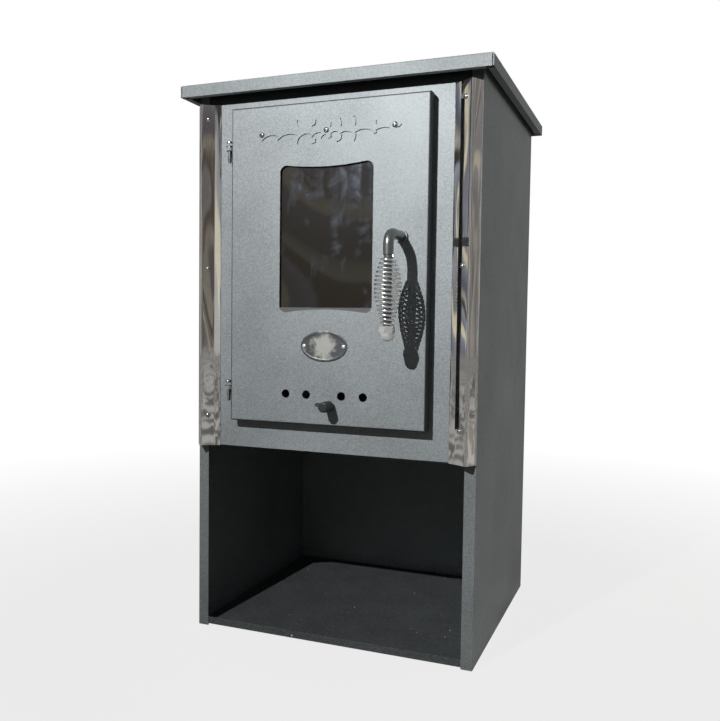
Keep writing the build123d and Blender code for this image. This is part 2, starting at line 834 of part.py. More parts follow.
with BuildPart() as ornament_screws:
    nut_y = skin_back_y + ornament_plate_sheet
    for point in ornament_screw_points:
        with BuildSketch(facing(door_face_y)):
            with Locations(point):
                Circle(ornament_screw_head_radius)
        extrude(amount=ornament_screw_head_height)
        with BuildSketch(facing(door_face_y)):
            with Locations(point):
                Circle(ornament_screw_radius)
        extrude(amount=-(nut_y + ornament_nut_height - door_face_y))
        with BuildSketch(facing(nut_y)):
            with Locations(point):
                RegularPolygon(ornament_nut_flats / 2, 6, major_radius=False)
        extrude(amount=-ornament_nut_height)
    fillet(
        ornament_screws.edges().filter_by(GeomType.CIRCLE).group_by(Axis.Y)[0],
        ornament_screw_head_height * 0.6,
    )

with BuildPart() as badge_plate:
    with BuildSketch(facing(door_face_y)):
        with Locations((0, badge_z)):
            Ellipse(badge_width / 2, badge_height / 2)
        with Locations(*rivet_points):
            Circle(rivet_radius, mode=Mode.SUBTRACT)
    extrude(amount=badge_sheet)
    with BuildSketch(facing(door_face_y - badge_sheet)):
        with Locations((0, badge_z)):
            Ellipse(badge_width / 2 - badge_border, badge_height / 2 - badge_border)
            Ellipse(
                badge_width / 2 - badge_border - badge_sheet,
                badge_height / 2 - badge_border - badge_sheet,
                mode=Mode.SUBTRACT,
            )
    extrude(amount=-badge_groove, mode=Mode.SUBTRACT)

with BuildPart() as badge_rivets:
    rivet_top_y = door_face_y - badge_sheet
    for point in rivet_points:
        with BuildSketch(facing(rivet_top_y)):
            with Locations(point):
                Circle(rivet_head_radius)
        extrude(amount=rivet_head_height)
        with BuildSketch(facing(rivet_top_y)):
            with Locations(point):
                Circle(rivet_radius)
        extrude(amount=-(skin_back_y - rivet_top_y))
        with BuildSketch(facing(skin_back_y)):
            with Locations(point):
                Circle(rivet_head_radius)
        extrude(amount=-rivet_head_height)
    fillet(
        badge_rivets.edges().filter_by(GeomType.CIRCLE).group_by(Axis.Y)[0],
        rivet_head_height * 0.8,
    )

# Glass, its flat gasket and the four clips that hold it from behind
with BuildPart() as glass_gasket:
    with BuildSketch(facing(glass_front_y)):
        with Locations((0, (glass_bottom_z + glass_top_z) / 2)):
            Rectangle(2 * glass_half_width, glass_top_z - glass_bottom_z)
        gasket_low = window_bottom_z + gasket_lower_show
        gasket_high = window_top_z + gasket_reveal
        with Locations((0, (gasket_low + gasket_high) / 2)):
            Rectangle(
                window_width + 2 * gasket_reveal,
                gasket_high - gasket_low,
                mode=Mode.SUBTRACT,
            )
    extrude(amount=gasket_thickness)

with BuildPart() as window_glass:
    glass_height = glass_top_z - glass_bottom_z
    slab(
        2 * glass_half_width,
        glass_height,
        glass_bottom_z + glass_height / 2,
        glass_front_y,
        glass_thickness,
    )

with BuildPart() as glass_clips:
    clip_wall_x = glass_half_width + slider_clearance
    for side, level in clip_points:
        with BuildSketch(Plane.XY.offset(level - clip_width / 2)):
            with BuildLine():
                Polyline(
                    (side * (clip_wall_x + clip_sheet + clip_foot), skin_back_y),
                    (side * clip_wall_x, skin_back_y),
                    (side * clip_wall_x, glass_back_y),
                    (side * (glass_half_width - clip_bite), glass_back_y),
                    (side * (glass_half_width - clip_bite), glass_back_y + clip_sheet),
                    (side * (clip_wall_x + clip_sheet), glass_back_y + clip_sheet),
                    (side * (clip_wall_x + clip_sheet), skin_back_y + clip_sheet),
                    (side * (clip_wall_x + clip_sheet + clip_foot), skin_back_y + clip_sheet),
                    close=True,
                )
            make_face()
        extrude(amount=clip_width)
    with BuildSketch(facing(skin_back_y + clip_sheet)):
        with Locations(*[(side * clip_screw_x, level) for side, level in clip_points]):
            Circle(clip_screw_radius)
    extrude(amount=clip_sheet, mode=Mode.SUBTRACT)

with BuildPart() as clip_screws:
    for side, level in clip_points:
        with BuildSketch(facing(skin_back_y + clip_sheet)):
            with Locations((side * clip_screw_x, level)):
                Circle(clip_screw_head_radius)
        extrude(amount=-clip_screw_head_height)
        with BuildSketch(facing(skin_back_y + clip_sheet)):
            with Locations((side * clip_screw_x, level)):
                Circle(clip_screw_radius)
        extrude(amount=clip_sheet)

# Inner door plate, welded inside the folded edges of the skin, and its rope seal
with BuildPart() as door_liner:
    slab(
        door_width - 2 * door_sheet,
        door_height - 2 * door_sheet,
        door_mid_z,
        liner_y,
        liner_sheet,
    )
    with BuildSketch(facing(liner_back_y)):
        with Locations((0, (glass_bottom_z + glass_top_z) / 2)):
            Rectangle(
                2 * (glass_half_width + liner_window_clearance),
                glass_top_z - glass_bottom_z + 2 * liner_window_clearance,
            )
        with Locations((handle_x, handle_z)):
            Circle(rod_radius + running_clearance)
        with Locations((0, air_z)):
            Rectangle(2 * (air_hole_outer + air_hole_radius), 2 * air_hole_radius)
    extrude(amount=liner_sheet, mode=Mode.SUBTRACT)

with BuildPart() as rope_seal:
    rope_outer_width = door_width - 2 * (door_sheet + rope_inset)
    rope_outer_height = door_height - 2 * (door_sheet + rope_inset)
    with BuildSketch(facing(front_y - seal_squeeze_gap)):
        with Locations((0, door_mid_z)):
            RectangleRounded(rope_outer_width, rope_outer_height, rope_width)
            RectangleRounded(
                rope_outer_width - 2 * rope_width,
                rope_outer_height - 2 * rope_width,
                rope_width / 3,
                mode=Mode.SUBTRACT,
            )
    extrude(amount=front_y - seal_squeeze_gap - liner_back_y)

# Air slider behind the skin, held by two stepped guides, moved by the knob in the slot
slider_y = skin_back_y + slider_clearance
slider_back_y = slider_y + slider_sheet
slider_mid_z = (air_z + slot_z) / 2
stem_radius = slot_height / 2 - slider_clearance
stem_x = slot_half_length - slot_height / 2 - slider_clearance
slider_travel = 2 * stem_x - slider_clearance

with BuildPart() as air_slider:
    with BuildSketch(facing(slider_back_y)):
        with Locations((0, slider_mid_z)):
            Rectangle(slider_length, slider_height)
        with Locations(*air_hole_points):
            Circle(air_hole_radius, mode=Mode.SUBTRACT)
        with Locations((stem_x, slot_z)):
            Circle(stem_radius, mode=Mode.SUBTRACT)
    extrude(amount=slider_sheet)

with BuildPart() as slider_knob:
    knob_front_y = door_face_y - knob_reach
    with BuildSketch(facing(knob_front_y + knob_length)):
        with Locations((stem_x, slot_z)):
            Circle(knob_radius)
    extrude(amount=knob_length)
    chamfer(slider_knob.edges().filter_by(GeomType.CIRCLE), knob_chamfer)
    with BuildSketch(facing(slider_back_y)):
        with Locations((stem_x, slot_z)):
            Circle(stem_radius)
    extrude(amount=slider_back_y - knob_front_y - knob_length)

with BuildPart() as slider_guides:
    guide_length = slider_length + 2 * slider_travel + 2 * guide_overrun
    lip_y = slider_back_y + slider_clearance
    for side in (-1, 1):
        edge_z = slider_mid_z + side * (slider_height / 2 + slider_clearance)
        foot_z = edge_z + side * guide_foot / 2
        lip_z = edge_z + side * (guide_foot - guide_lap) / 2
        slab(guide_length, guide_foot, foot_z, skin_back_y, lip_y - skin_back_y)
        slab(guide_length, guide_foot + guide_lap, lip_z, lip_y, guide_sheet)

# Handle: bent rod with a thinner stud, spring grip and domed nut
rod_y = door_face_y - handle_reach
shoulder_z = handle_z - handle_shoulder_drop
spring_bottom_z = shoulder_z - spring_length
cam_y = plate_back_y + cam_setback
cam_back_y = cam_y + cam_thickness
spindle_end_y = cam_back_y + cam_washer_thickness + cam_nut_height

with BuildPart() as handle_rod:
    with BuildLine(Plane.YZ.offset(handle_x)) as rod_path:
        FilletPolyline(
            (cam_y, handle_z),
            (rod_y, handle_z),
            (rod_y, shoulder_z),
            radius=rod_bend,
        )
    with BuildSketch(facing(cam_y)):
        with Locations((handle_x, handle_z)):
            Circle(rod_radius)
    sweep(path=rod_path.line)
    with BuildSketch(Plane.XY.offset(shoulder_z)):
        with Locations((handle_x, rod_y)):
            Circle(stud_radius)
    extrude(amount=-(spring_length + nut_height))
    with BuildSketch(facing(cam_y)):
        with Locations((handle_x, handle_z)):
            Circle(spindle_radius)
    extrude(amount=-(spindle_end_y - cam_y))


def spring_radius(share):
    """Centre-line radius at a share of the length from the top: a barrel shape."""
    end = (spring_end_diameter - spring_wire) / 2
    middle = (spring_middle_diameter - spring_wire) / 2
    return end + (middle - end) * sin(pi * share**spring_skew) ** spring_swell_power


spring_top_z = shoulder_z - spring_seat_gap - spring_wire / 2
spring_drop = spring_length - 2 * spring_seat_gap - spring_wire


def spring_point(share):
    """Point of the helix at a share of its turns, counted from the top."""
    angle = 2 * pi * spring_turns * share
    radius = spring_radius(share)
    return Vector(
        handle_x + radius * cos(angle),
        rod_y + radius * sin(angle),
        spring_top_z - spring_drop * share,
    )


def spring_direction(share):
    """Unit tangent of the helix, from two points close to either side."""
    step = 1e-5
    low = max(share - step, 0.0)
    high = min(share + step, 1.0)
    return (spring_point(high) - spring_point(low)).normalized()


def biarc_joint(start, start_way, end, end_way):
    """Point and direction where an arc leaving start meets an arc that reaches end."""
    chord = end - start
    ways = start_way + end_way
    squared = 2 * (1 - start_way.dot(end_way))
    along = chord.dot(ways)
    root = (along**2 + squared * chord.dot(chord)) ** 0.5
    reach = (root - along) / squared
    leaving = start + start_way * reach
    arriving = end - end_way * reach
    return (leaving + arriving) * 0.5, (arriving - leaving).normalized()


half_turns = 2 * spring_turns
spring_knots = [spring_point(index / half_turns) for index in range(half_turns + 1)]
spring_ways = [spring_direction(index / half_turns) for index in range(half_turns + 1)]

with BuildPart() as handle_spring:
    with BuildLine() as spring_path:
        lead_in = spring_knots[0] - spring_ways[0] * spring_wire
        Line(lead_in, spring_knots[0])
        for index in range(half_turns):
            start, end = spring_knots[index], spring_knots[index + 1]
            joint, joint_way = biarc_joint(start, spring_ways[index], end, spring_ways[index + 1])
            TangentArc(start, joint, tangent=spring_ways[index])
            TangentArc(joint, end, tangent=joint_way)
        Line(spring_knots[-1], spring_knots[-1] + spring_ways[-1] * spring_wire)
    with BuildSketch(Plane(origin=lead_in, z_dir=-spring_ways[0])):
        Circle(spring_wire / 2)
    sweep(path=spring_path.line)

samples_per_turn = 24
sample_count = spring_turns * samples_per_turn
spring_samples = [tuple(spring_point(i / sample_count)) for i in range(sample_count + 1)]
least_turn_gap = min(
    dist(spring_samples[i], spring_samples[j])
    for i in range(sample_count + 1)
    for j in range(i + samples_per_turn // 2, min(i + 2 * samples_per_turn, sample_count + 1))
)
print("least gap between spring turns", round(least_turn_gap - spring_wire, 2), "mm")

with BuildPart() as handle_nut:
    with BuildSketch(Plane.XY.offset(spring_bottom_z)):
        with Locations((handle_x, rod_y)):
            RegularPolygon(nut_flats / 2, 6, major_radius=False)
    extrude(amount=-nut_height)
    with BuildSketch(Plane.XY.offset(spring_bottom_z - nut_height)):
        with Locations((handle_x, rod_y)):
            Circle(nut_flats / 2 - fit_clearance)
    extrude(amount=-dome_height)
    fillet(handle_nut.faces().sort_by(Axis.Z)[0].edges(), dome_height - dome_wall)
    with BuildSketch(Plane.XY.offset(spring_bottom_z)):
        with Locations((handle_x, rod_y)):
            Circle(stud_radius)
    extrude(amount=-nut_height, mode=Mode.SUBTRACT)

with BuildPart() as handle_bush:
    with BuildSketch(facing(door_face_y)):
        with Locations((handle_x, handle_z)):
            Circle(bush_radius)
            Circle(rod_radius + fit_clearance, mode=Mode.SUBTRACT)
    extrude(amount=bush_length)

# Latch: an eccentric cam on the spindle that wedges beside a keeper in the mouth
keeper_x = mouth_width / 2
cam_reach = keeper_x - cam_keeper_gap - handle_x

with BuildPart() as latch_cam:
    with BuildSketch(facing(cam_back_y)):
        with Locations((handle_x, handle_z)):
            Circle(cam_radius)
        with Locations((handle_x + cam_reach - cam_radius / 2, handle_z)):
            Circle(cam_radius / 2)
        make_hull()
        with Locations((handle_x, handle_z)):
            Circle(spindle_radius, mode=Mode.SUBTRACT)
    extrude(amount=cam_thickness)

with BuildPart() as latch_fasteners:
    with BuildSketch(facing(cam_back_y)):
        with Locations((handle_x, handle_z)):
            Circle(cam_washer_radius)
            Circle(spindle_radius, mode=Mode.SUBTRACT)
    extrude(amount=-cam_washer_thickness)
    with BuildSketch(facing(cam_back_y + cam_washer_thickness)):
        with Locations((handle_x, handle_z)):
            RegularPolygon(cam_nut_flats / 2, 6, major_radius=False)
            Circle(spindle_radius, mode=Mode.SUBTRACT)
    extrude(amount=-cam_nut_height)

with BuildPart() as latch_keeper:
    slab(
        keeper_sheet,
        keeper_height,
        handle_z,
        plate_back_y,
        keeper_length,
        keeper_x + keeper_sheet / 2,
    )
    slab(
        keeper_length,
        keeper_height,
        handle_z,
        plate_back_y,
        keeper_sheet,
        keeper_x + keeper_length / 2,
    )

# Hinges: an eye on the front plate, an eye on the door and a headed pin through both
hinge_x = -door_width / 2 - hinge_offset
hinge_y = front_y - door_depth / 2
hinge_levels = {
    "upper": door_top_z - upper_hinge_drop,
    "lower": door_bottom_z + lower_hinge_rise,
}
hinge_pieces = {}
for place, leg_bottom_z in hinge_levels.items():
    frame_eye_z = leg_bottom_z + hinge_leg
    washer_z = frame_eye_z + frame_eye_thickness
    door_eye_z = washer_z + hinge_washer + running_clearance
    head_z = door_eye_z + door_eye_thickness + running_clearance

    with BuildPart() as frame_eye:
        with BuildSketch(Plane.XY.offset(frame_eye_z)):
            with Locations((hinge_x, hinge_y)):
                Circle(hinge_eye_radius)
            with Locations((hinge_x, (hinge_y + front_y) / 2)):
                Rectangle(2 * hinge_eye_radius, front_y - hinge_y)
            with Locations((hinge_x, hinge_y)):
                Circle(hinge_pin_radius, mode=Mode.SUBTRACT)
        extrude(amount=frame_eye_thickness)

    with BuildPart() as door_eye:
        with BuildSketch(Plane.XY.offset(door_eye_z)):
            with Locations((hinge_x, hinge_y)):
                Circle(hinge_eye_radius)
            with Locations((hinge_x + hinge_offset / 2, hinge_y)):
                Rectangle(hinge_offset, 2 * hinge_eye_radius)
            with Locations((hinge_x, hinge_y)):
                Circle(hinge_pin_radius + fit_clearance, mode=Mode.SUBTRACT)
        extrude(amount=door_eye_thickness)

    with BuildPart() as hinge_pin:
        with BuildSketch(Plane.XY.offset(leg_bottom_z)):
            with Locations((hinge_x, hinge_y)):
                Circle(hinge_pin_radius)
        extrude(amount=head_z - leg_bottom_z)
        with BuildSketch(Plane.XY.offset(head_z)):
            with Locations((hinge_x, hinge_y)):
                Circle(hinge_head_radius)
        extrude(amount=hinge_head_height)
        fillet(hinge_pin.faces().sort_by(Axis.Z)[-1].edges(), hinge_head_height * 0.4)
        chamfer(hinge_pin.faces().sort_by(Axis.Z)[0].edges(), hinge_pin_radius * 0.3)

    with BuildPart() as washer:
        with BuildSketch(Plane.XY.offset(washer_z)):
            with Locations((hinge_x, hinge_y)):
                Circle(hinge_eye_radius)
                Circle(hinge_pin_radius, mode=Mode.SUBTRACT)
        extrude(amount=hinge_washer)

    hinge_pieces[place + "_frame_eye"] = frame_eye
    hinge_pieces[place + "_door_eye"] = door_eye
    hinge_pieces[place + "_hinge_pin"] = hinge_pin
    hinge_pieces[place + "_hinge_washer"] = washer

pieces = {
    "side_panel_left": side_panel_left,
    "side_panel_right": side_panel_right,
    "rear_panel": rear_panel,
    "rear_screws": rear_screws,
    "base_tray": base_tray,
    "niche_back": niche_back,
    "niche_ceiling": niche_ceiling,
    "front_plate": front_plate,
    "top_rail": top_rail,
    "lid": lid,
    "corner_trim_left": corner_trim_left,
    "corner_trim_right": corner_trim_right,
    "trim_screws": trim_screws,
    "firebox_shell": firebox_shell,
    "flue_collar": flue_collar,
    "firebox_stays": firebox_stays,
    "shelf_ledges": shelf_ledges,
    "grate_shelf": grate_shelf,
    "grate": grate,
    "side_brick_left": side_brick_left,
    "side_brick_right": side_brick_right,
    "rear_brick": rear_brick,
    "baffle_plate": baffle_plate,
    "ember_guard": ember_guard,
    "ash_pan": ash_pan,
    "ash_pan_guides": ash_pan_guides,
    "latch_keeper": latch_keeper,
    "door_skin": door_skin,
    "ornament_plate": ornament_plate,
    "ornament_screws": ornament_screws,
    "badge_plate": badge_plate,
    "badge_rivets": badge_rivets,
    "glass_gasket": glass_gasket,
    "window_glass": window_glass,
    "glass_clips": glass_clips,
    "clip_screws": clip_screws,
    "door_liner": door_liner,
    "rope_seal": rope_seal,
    "slider_guides": slider_guides,
    "handle_bush": handle_bush,
    "air_slider": air_slider,
    "slider_knob": slider_knob,
    "handle_rod": handle_rod,
    "handle_spring": handle_spring,
    "handle_nut": handle_nut,
    "latch_cam": latch_cam,
    "latch_fasteners": latch_fasteners,
    **hinge_pieces,
}

os.makedirs("parts", exist_ok=True)
for name, piece in pieces.items():
    piece.part.label = name
    export_step(piece.part, f"parts/{name}.step")
    print(name, len(piece.part.solids()), "solids", round(piece.part.volume), "mm3")
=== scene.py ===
"""Looks of a small steel wood stove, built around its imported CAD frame.

Sizes in the classes are millimetres in the frame's own axes; meshes are written in metres.
"""

import json
import logging
import math
from dataclasses import dataclass, field, replace
from enum import Enum
from typing import Any, Sequence

import bmesh
import bpy
import numpy as np
from mathutils import Matrix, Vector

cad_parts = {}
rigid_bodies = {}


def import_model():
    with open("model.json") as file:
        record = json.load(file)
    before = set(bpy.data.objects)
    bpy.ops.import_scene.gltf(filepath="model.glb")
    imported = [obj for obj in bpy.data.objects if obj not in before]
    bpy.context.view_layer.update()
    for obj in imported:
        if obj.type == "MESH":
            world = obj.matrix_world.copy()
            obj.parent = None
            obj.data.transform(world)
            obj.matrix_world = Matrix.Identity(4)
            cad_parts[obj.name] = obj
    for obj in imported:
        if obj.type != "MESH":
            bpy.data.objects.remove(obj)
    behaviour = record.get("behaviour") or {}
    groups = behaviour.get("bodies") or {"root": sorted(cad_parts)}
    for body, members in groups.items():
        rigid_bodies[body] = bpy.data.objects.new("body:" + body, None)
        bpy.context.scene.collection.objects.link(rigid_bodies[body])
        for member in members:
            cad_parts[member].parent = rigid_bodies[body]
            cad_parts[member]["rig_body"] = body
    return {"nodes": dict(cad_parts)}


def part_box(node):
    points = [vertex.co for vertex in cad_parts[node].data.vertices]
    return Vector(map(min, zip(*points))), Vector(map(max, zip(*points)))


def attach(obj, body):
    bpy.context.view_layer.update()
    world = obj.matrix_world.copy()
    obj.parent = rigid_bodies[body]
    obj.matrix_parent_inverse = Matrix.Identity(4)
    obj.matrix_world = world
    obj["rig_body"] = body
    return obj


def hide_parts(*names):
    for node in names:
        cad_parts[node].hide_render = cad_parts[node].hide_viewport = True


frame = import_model()

LOG = logging.getLogger("stove")
MM = 0.001
WELD = 2e-6
FLAT_ANGLE = math.radians(0.3)
SMOOTH_ANGLE = math.radians(38.0)
QUARTER = math.pi / 2
Colour = tuple[float, float, float, float]
Pair = tuple[float, float]
Triple = tuple[float, float, float]
Tree = bpy.types.NodeTree
Node = bpy.types.Node
Socket = bpy.types.NodeSocket


class Side(Enum):
    """Side of the stove for someone who looks at its door."""

    LEFT = -1
    RIGHT = 1


def linear(code: str) -> Colour:
    """Scene-linear colour of an sRGB hex code such as 8A9092.

    Args:
        code: Six hex digits.

    Returns:
        Red, green, blue and an alpha of 1.
    """
    srgb = [int(code[i : i + 2], 16) / 255 for i in (0, 2, 4)]
    flat = [c / 12.92 if c <= 0.04045 else ((c + 0.055) / 1.055) ** 2.4 for c in srgb]
    return flat[0], flat[1], flat[2], 1.0


def per_metre(size: float) -> float:
    """Texture scale whose features are about size millimetres across."""
    return 1000.0 / size


def feed(tree: Tree, target: Node, inputs: dict[Any, Any]) -> None:
    """Links or sets sockets of a node.

    Args:
        tree: The node's tree.
        target: The node.
        inputs: Socket name or number to a constant, a hex colour, the output that feeds it,
            or a node whose first output in use feeds it.
    """
    for key, value in inputs.items():
        if isinstance(value, Node):
            value = next(output for output in value.outputs if output.enabled)
        if isinstance(value, Socket):
            tree.links.new(value, target.inputs[key])
        else:
            target.inputs[key].default_value = linear(value) if isinstance(value, str) else value


def add_node(
    tree: Tree,
    kind: str,
    inputs: dict[Any, Any] | Sequence[Any] = (),
    stops: Sequence[tuple[float, str]] = (),
    **settings: Any,
) -> Node:
    """Adds a shader node with its settings, ramp stops, constants and links.

    Args:
        tree: Node tree that gets the node.
        kind: Node type without its ShaderNode prefix.
        inputs: As for feed, or values for the first sockets in their order.
        stops: Positions and hex colours of a colour ramp.
        settings: Properties of the node.

    Returns:
        The new node.
    """
    made = tree.nodes.new("ShaderNode" + kind)
    for key, value in settings.items():
        setattr(made, key, value)
    feed(tree, made, inputs if isinstance(inputs, dict) else dict(enumerate(inputs)))
    if stops:
        ramp = made.color_ramp
        while len(ramp.elements) < len(stops):
            ramp.elements.new(1.0)
        for element, (position, colour) in zip(ramp.elements, stops):
            element.position = position
            element.color = linear(colour)
    return made


# Surfaces


@dataclass
class Surface:
    """Points in millimetres, one row each, and faces as lists of point numbers."""

    points: np.ndarray
    faces: list[list[int]]


def grid(points: np.ndarray, closed: bool = False, caps: bool = False) -> Surface:
    """Quads between the neighbours of a grid of points.

    Args:
        points: Array of rows, columns and three coordinates.
        closed: Joins the last column to the first.
        caps: Closes the first and last rows with a fan to their mean point.

    Returns:
        The surface; face k joins rows i, i + 1 and columns j, j + 1.
    """
    rows, columns = points.shape[:2]
    index = np.arange(rows * columns).reshape(rows, columns)
    left = index if closed else index[:, :-1]
    right = np.roll(index, -1, axis=1) if closed else index[:, 1:]
    faces = np.stack((left[:-1], right[:-1], right[1:], left[1:]), axis=-1).reshape(-1, 4).tolist()
    flat = points.reshape(-1, 3)
    if caps:
        for number, row in ((0, 0), (1, rows - 1)):
            tip = np.full(left.shape[1], len(flat) + number)
            faces += np.stack([left[row], right[row], tip], axis=-1).tolist()
        flat = np.concatenate([flat, points[[0, -1]].mean(axis=1)])
    return Surface(flat, faces)


def shell(front: np.ndarray, back: np.ndarray) -> Surface:
    """Closed sheet between two grids, with a wall round their border.

    Args:
        front: Grid of one face.
        back: Grid of the other face, of the same shape.

    Returns:
        The closed sheet.
    """
    rows, columns = front.shape[:2]
    index = np.arange(rows * columns).reshape(rows, columns)
    border = np.concatenate([index[0], index[1:, -1], index[-1, -2::-1], index[-2:0:-1, 0]])
    following = np.roll(border, -1)
    other = rows * columns
    wall = np.stack([border, following, following + other, border + other], axis=-1).tolist()
    face, rear = grid(front), grid(back)
    rear_faces = (np.array(rear.faces)[:, ::-1] + other).tolist()
    return Surface(np.concatenate([face.points, rear.points]), face.faces + rear_faces + wall)


def unit(vectors: np.ndarray) -> np.ndarray:
    """Vectors scaled to length 1."""
    return vectors / np.linalg.norm(vectors, axis=-1, keepdims=True)


def angles(steps: int) -> np.ndarray:
    """Even angles round a full turn."""
    return np.linspace(0, 2 * math.pi, steps, endpoint=False)


def around(angle: np.ndarray) -> np.ndarray:
    """Points (cos a, sin a), one row each."""
    return np.stack([np.cos(angle), np.sin(angle)], axis=1)


def carried(path: np.ndarray, guide: Triple, radius: np.ndarray, steps: int) -> Surface:
    """Circle carried along a path, with both ends closed.

    point[i, j] = path[i] + radius[i] * (cos a[j] * side[i] + sin a[j] * up[i]), where side is
    the guide made square to the path's tangent and up = tangent x side.

    Args:
        path: Points of the path, one row each.
        guide: Direction that the circle's first axis leans to.
        radius: Radius at each point of the path.
        steps: Points round the circle.

    Returns:
        The tube.
    """
    tangent = unit(np.gradient(path, axis=0))
    lean = np.broadcast_to(np.array(guide), path.shape)
    side = unit(lean - tangent * np.sum(lean * tangent, axis=1, keepdims=True))
    up = np.cross(tangent, side)
    section = around(angles(steps))[None] * radius[:, None, None]
    across = section[..., :1] * side[:, None] + section[..., 1:] * up[:, None]
    return grid(path[:, None] + across, closed=True, caps=True)


def basis(axis: Triple) -> tuple[np.ndarray, np.ndarray, np.ndarray]:
    """Unit axis and two unit directions square to it.

    Args:
        axis: Direction of any length.

    Returns:
        The axis and the two directions, right-handed.
    """
    along = unit(np.array(axis, float))
    helper = np.array([0.0, 0.0, 1.0] if abs(along[2]) < 0.9 else [1.0, 0.0, 0.0])
    first = unit(np.cross(helper, along))
    return along, first, np.cross(along, first)


def lathe(
    radius: np.ndarray, along: np.ndarray, origin: Triple, axis: Triple, steps: int, caps: bool = True
) -> Surface:
    """Profile turned round an axis: origin + along * axis + radius * (cos a * first + sin a * second).

    Args:
        radius: Radius per profile point, or per profile point and angle.
        along: Distance along the axis per profile point, or in the radius's shape.
        origin: Point on the axis.
        axis: Direction of the axis.
        steps: Points round the axis.
        caps: Closes the ends of the profile to the axis.

    Returns:
        The turned surface.
    """
    direction, first, second = basis(axis)
    turn = around(angles(steps))
    ring = turn[:, :1] * first + turn[:, 1:] * second
    radius, along = (
        np.broadcast_to(np.array(values, float).reshape(len(values), -1), (len(values), steps))
        for values in (radius, along)
    )
    points = np.array(origin, float) + along[..., None] * direction + radius[..., None] * ring
    return grid(points, closed=True, caps=caps)


def hex_nut(seat: Triple, axis: Triple, flats: float, height: float) -> Surface:
    """Hexagonal nut body with chamfered corners.

    r(a, h) = min(flats / 2 / cos(a mod 60 - 30), rim + 1.7 * distance to the nearer end).

    Args:
        seat: Middle of its lower face.
        axis: Direction up the nut.
        flats: Width across the flats.
        height: Height.

    Returns:
        The closed nut.
    """
    steps = 72
    hexagon = flats / 2 / np.cos(angles(steps) % (math.pi / 3) - math.pi / 6)
    level = height * np.array([0, 0, 0.03, 0.07, 0.12, 0.2, 0.5, 0.8, 0.88, 0.93, 0.97, 1, 1])
    near = np.minimum(level, height - level)[:, None]
    rim = flats / 2 * 0.97
    radius = np.minimum(hexagon[None], rim + 1.7 * near)
    radius[[0, -1]] = 0.0
    return lathe(radius, level, seat, axis, steps)


def rounded_line(corners: np.ndarray, radius: float, samples: int) -> tuple[np.ndarray, np.ndarray]:
    """Broken line with its inner corners rounded.

    A corner P between unit ways a and b becomes the curve (1-s)^2 * (P - t a)
    + 2 s (1-s) P + s^2 (P + t b), with t = radius * tan(turn / 2).

    Args:
        corners: Corner points, one row each.
        radius: Radius of the bends.
        samples: Points on each straight run.

    Returns:
        The line's points, and per point 0 at the bends rising to 1 mid-run.
    """
    ways = unit(np.diff(corners, axis=0))
    turn = np.arccos(np.clip(np.sum(ways[:-1] * ways[1:], axis=1), -1, 1))
    reach = np.concatenate([[0.0], radius * np.tan(turn / 2), [0.0]])
    share = np.linspace(0, 1, samples)[:, None]
    bend = np.linspace(0, 1, 6)[1:-1, None]
    parts, weights = [], []
    for i, way in enumerate(ways):
        start = corners[i] + way * reach[i]
        end = corners[i + 1] - way * reach[i + 1]
        parts.append(start + (end - start) * share)
        weights.append(np.sin(math.pi * share[:, 0]) ** 0.7)
        if i + 1 < len(ways):
            leave = corners[i + 1] + ways[i + 1] * reach[i + 1]
            arc = (1 - bend) ** 2 * end + 2 * bend * (1 - bend) * corners[i + 1]
            parts.append(arc + bend**2 * leave)
            weights.append(np.zeros(len(bend)))
    return np.concatenate(parts), np.concatenate(weights)


# Finishes


@dataclass(frozen=True)
class Finish:
    """A surface finish: a named material whose detail comes from nodes."""

    name: str

    def material(self) -> bpy.types.Material:
        """The finish's material, made the first time it is asked for.

        Returns:
            The material.
        """
        known = bpy.data.materials.get(self.name)
        if known:
            return known
        made = bpy.data.materials.new(self.name)
        made.use_nodes = True
        tree = made.node_tree
        where = add_node(tree, "TexCoord").outputs["Object"]
        feed(tree, tree.nodes["Principled BSDF"], self.feeds(tree, where))
        return made

    def feeds(self, tree: Tree, where: Socket) -> dict[str, Any]:
        """Adds the nodes that give the finish its colour, gloss and relief.

        Args:
            tree: The material's node tree.
            where: Object coordinates, in metres.

        Returns:
            Socket of the principled shader to what feeds it, here and in every finish.
        """
        raise NotImplementedError


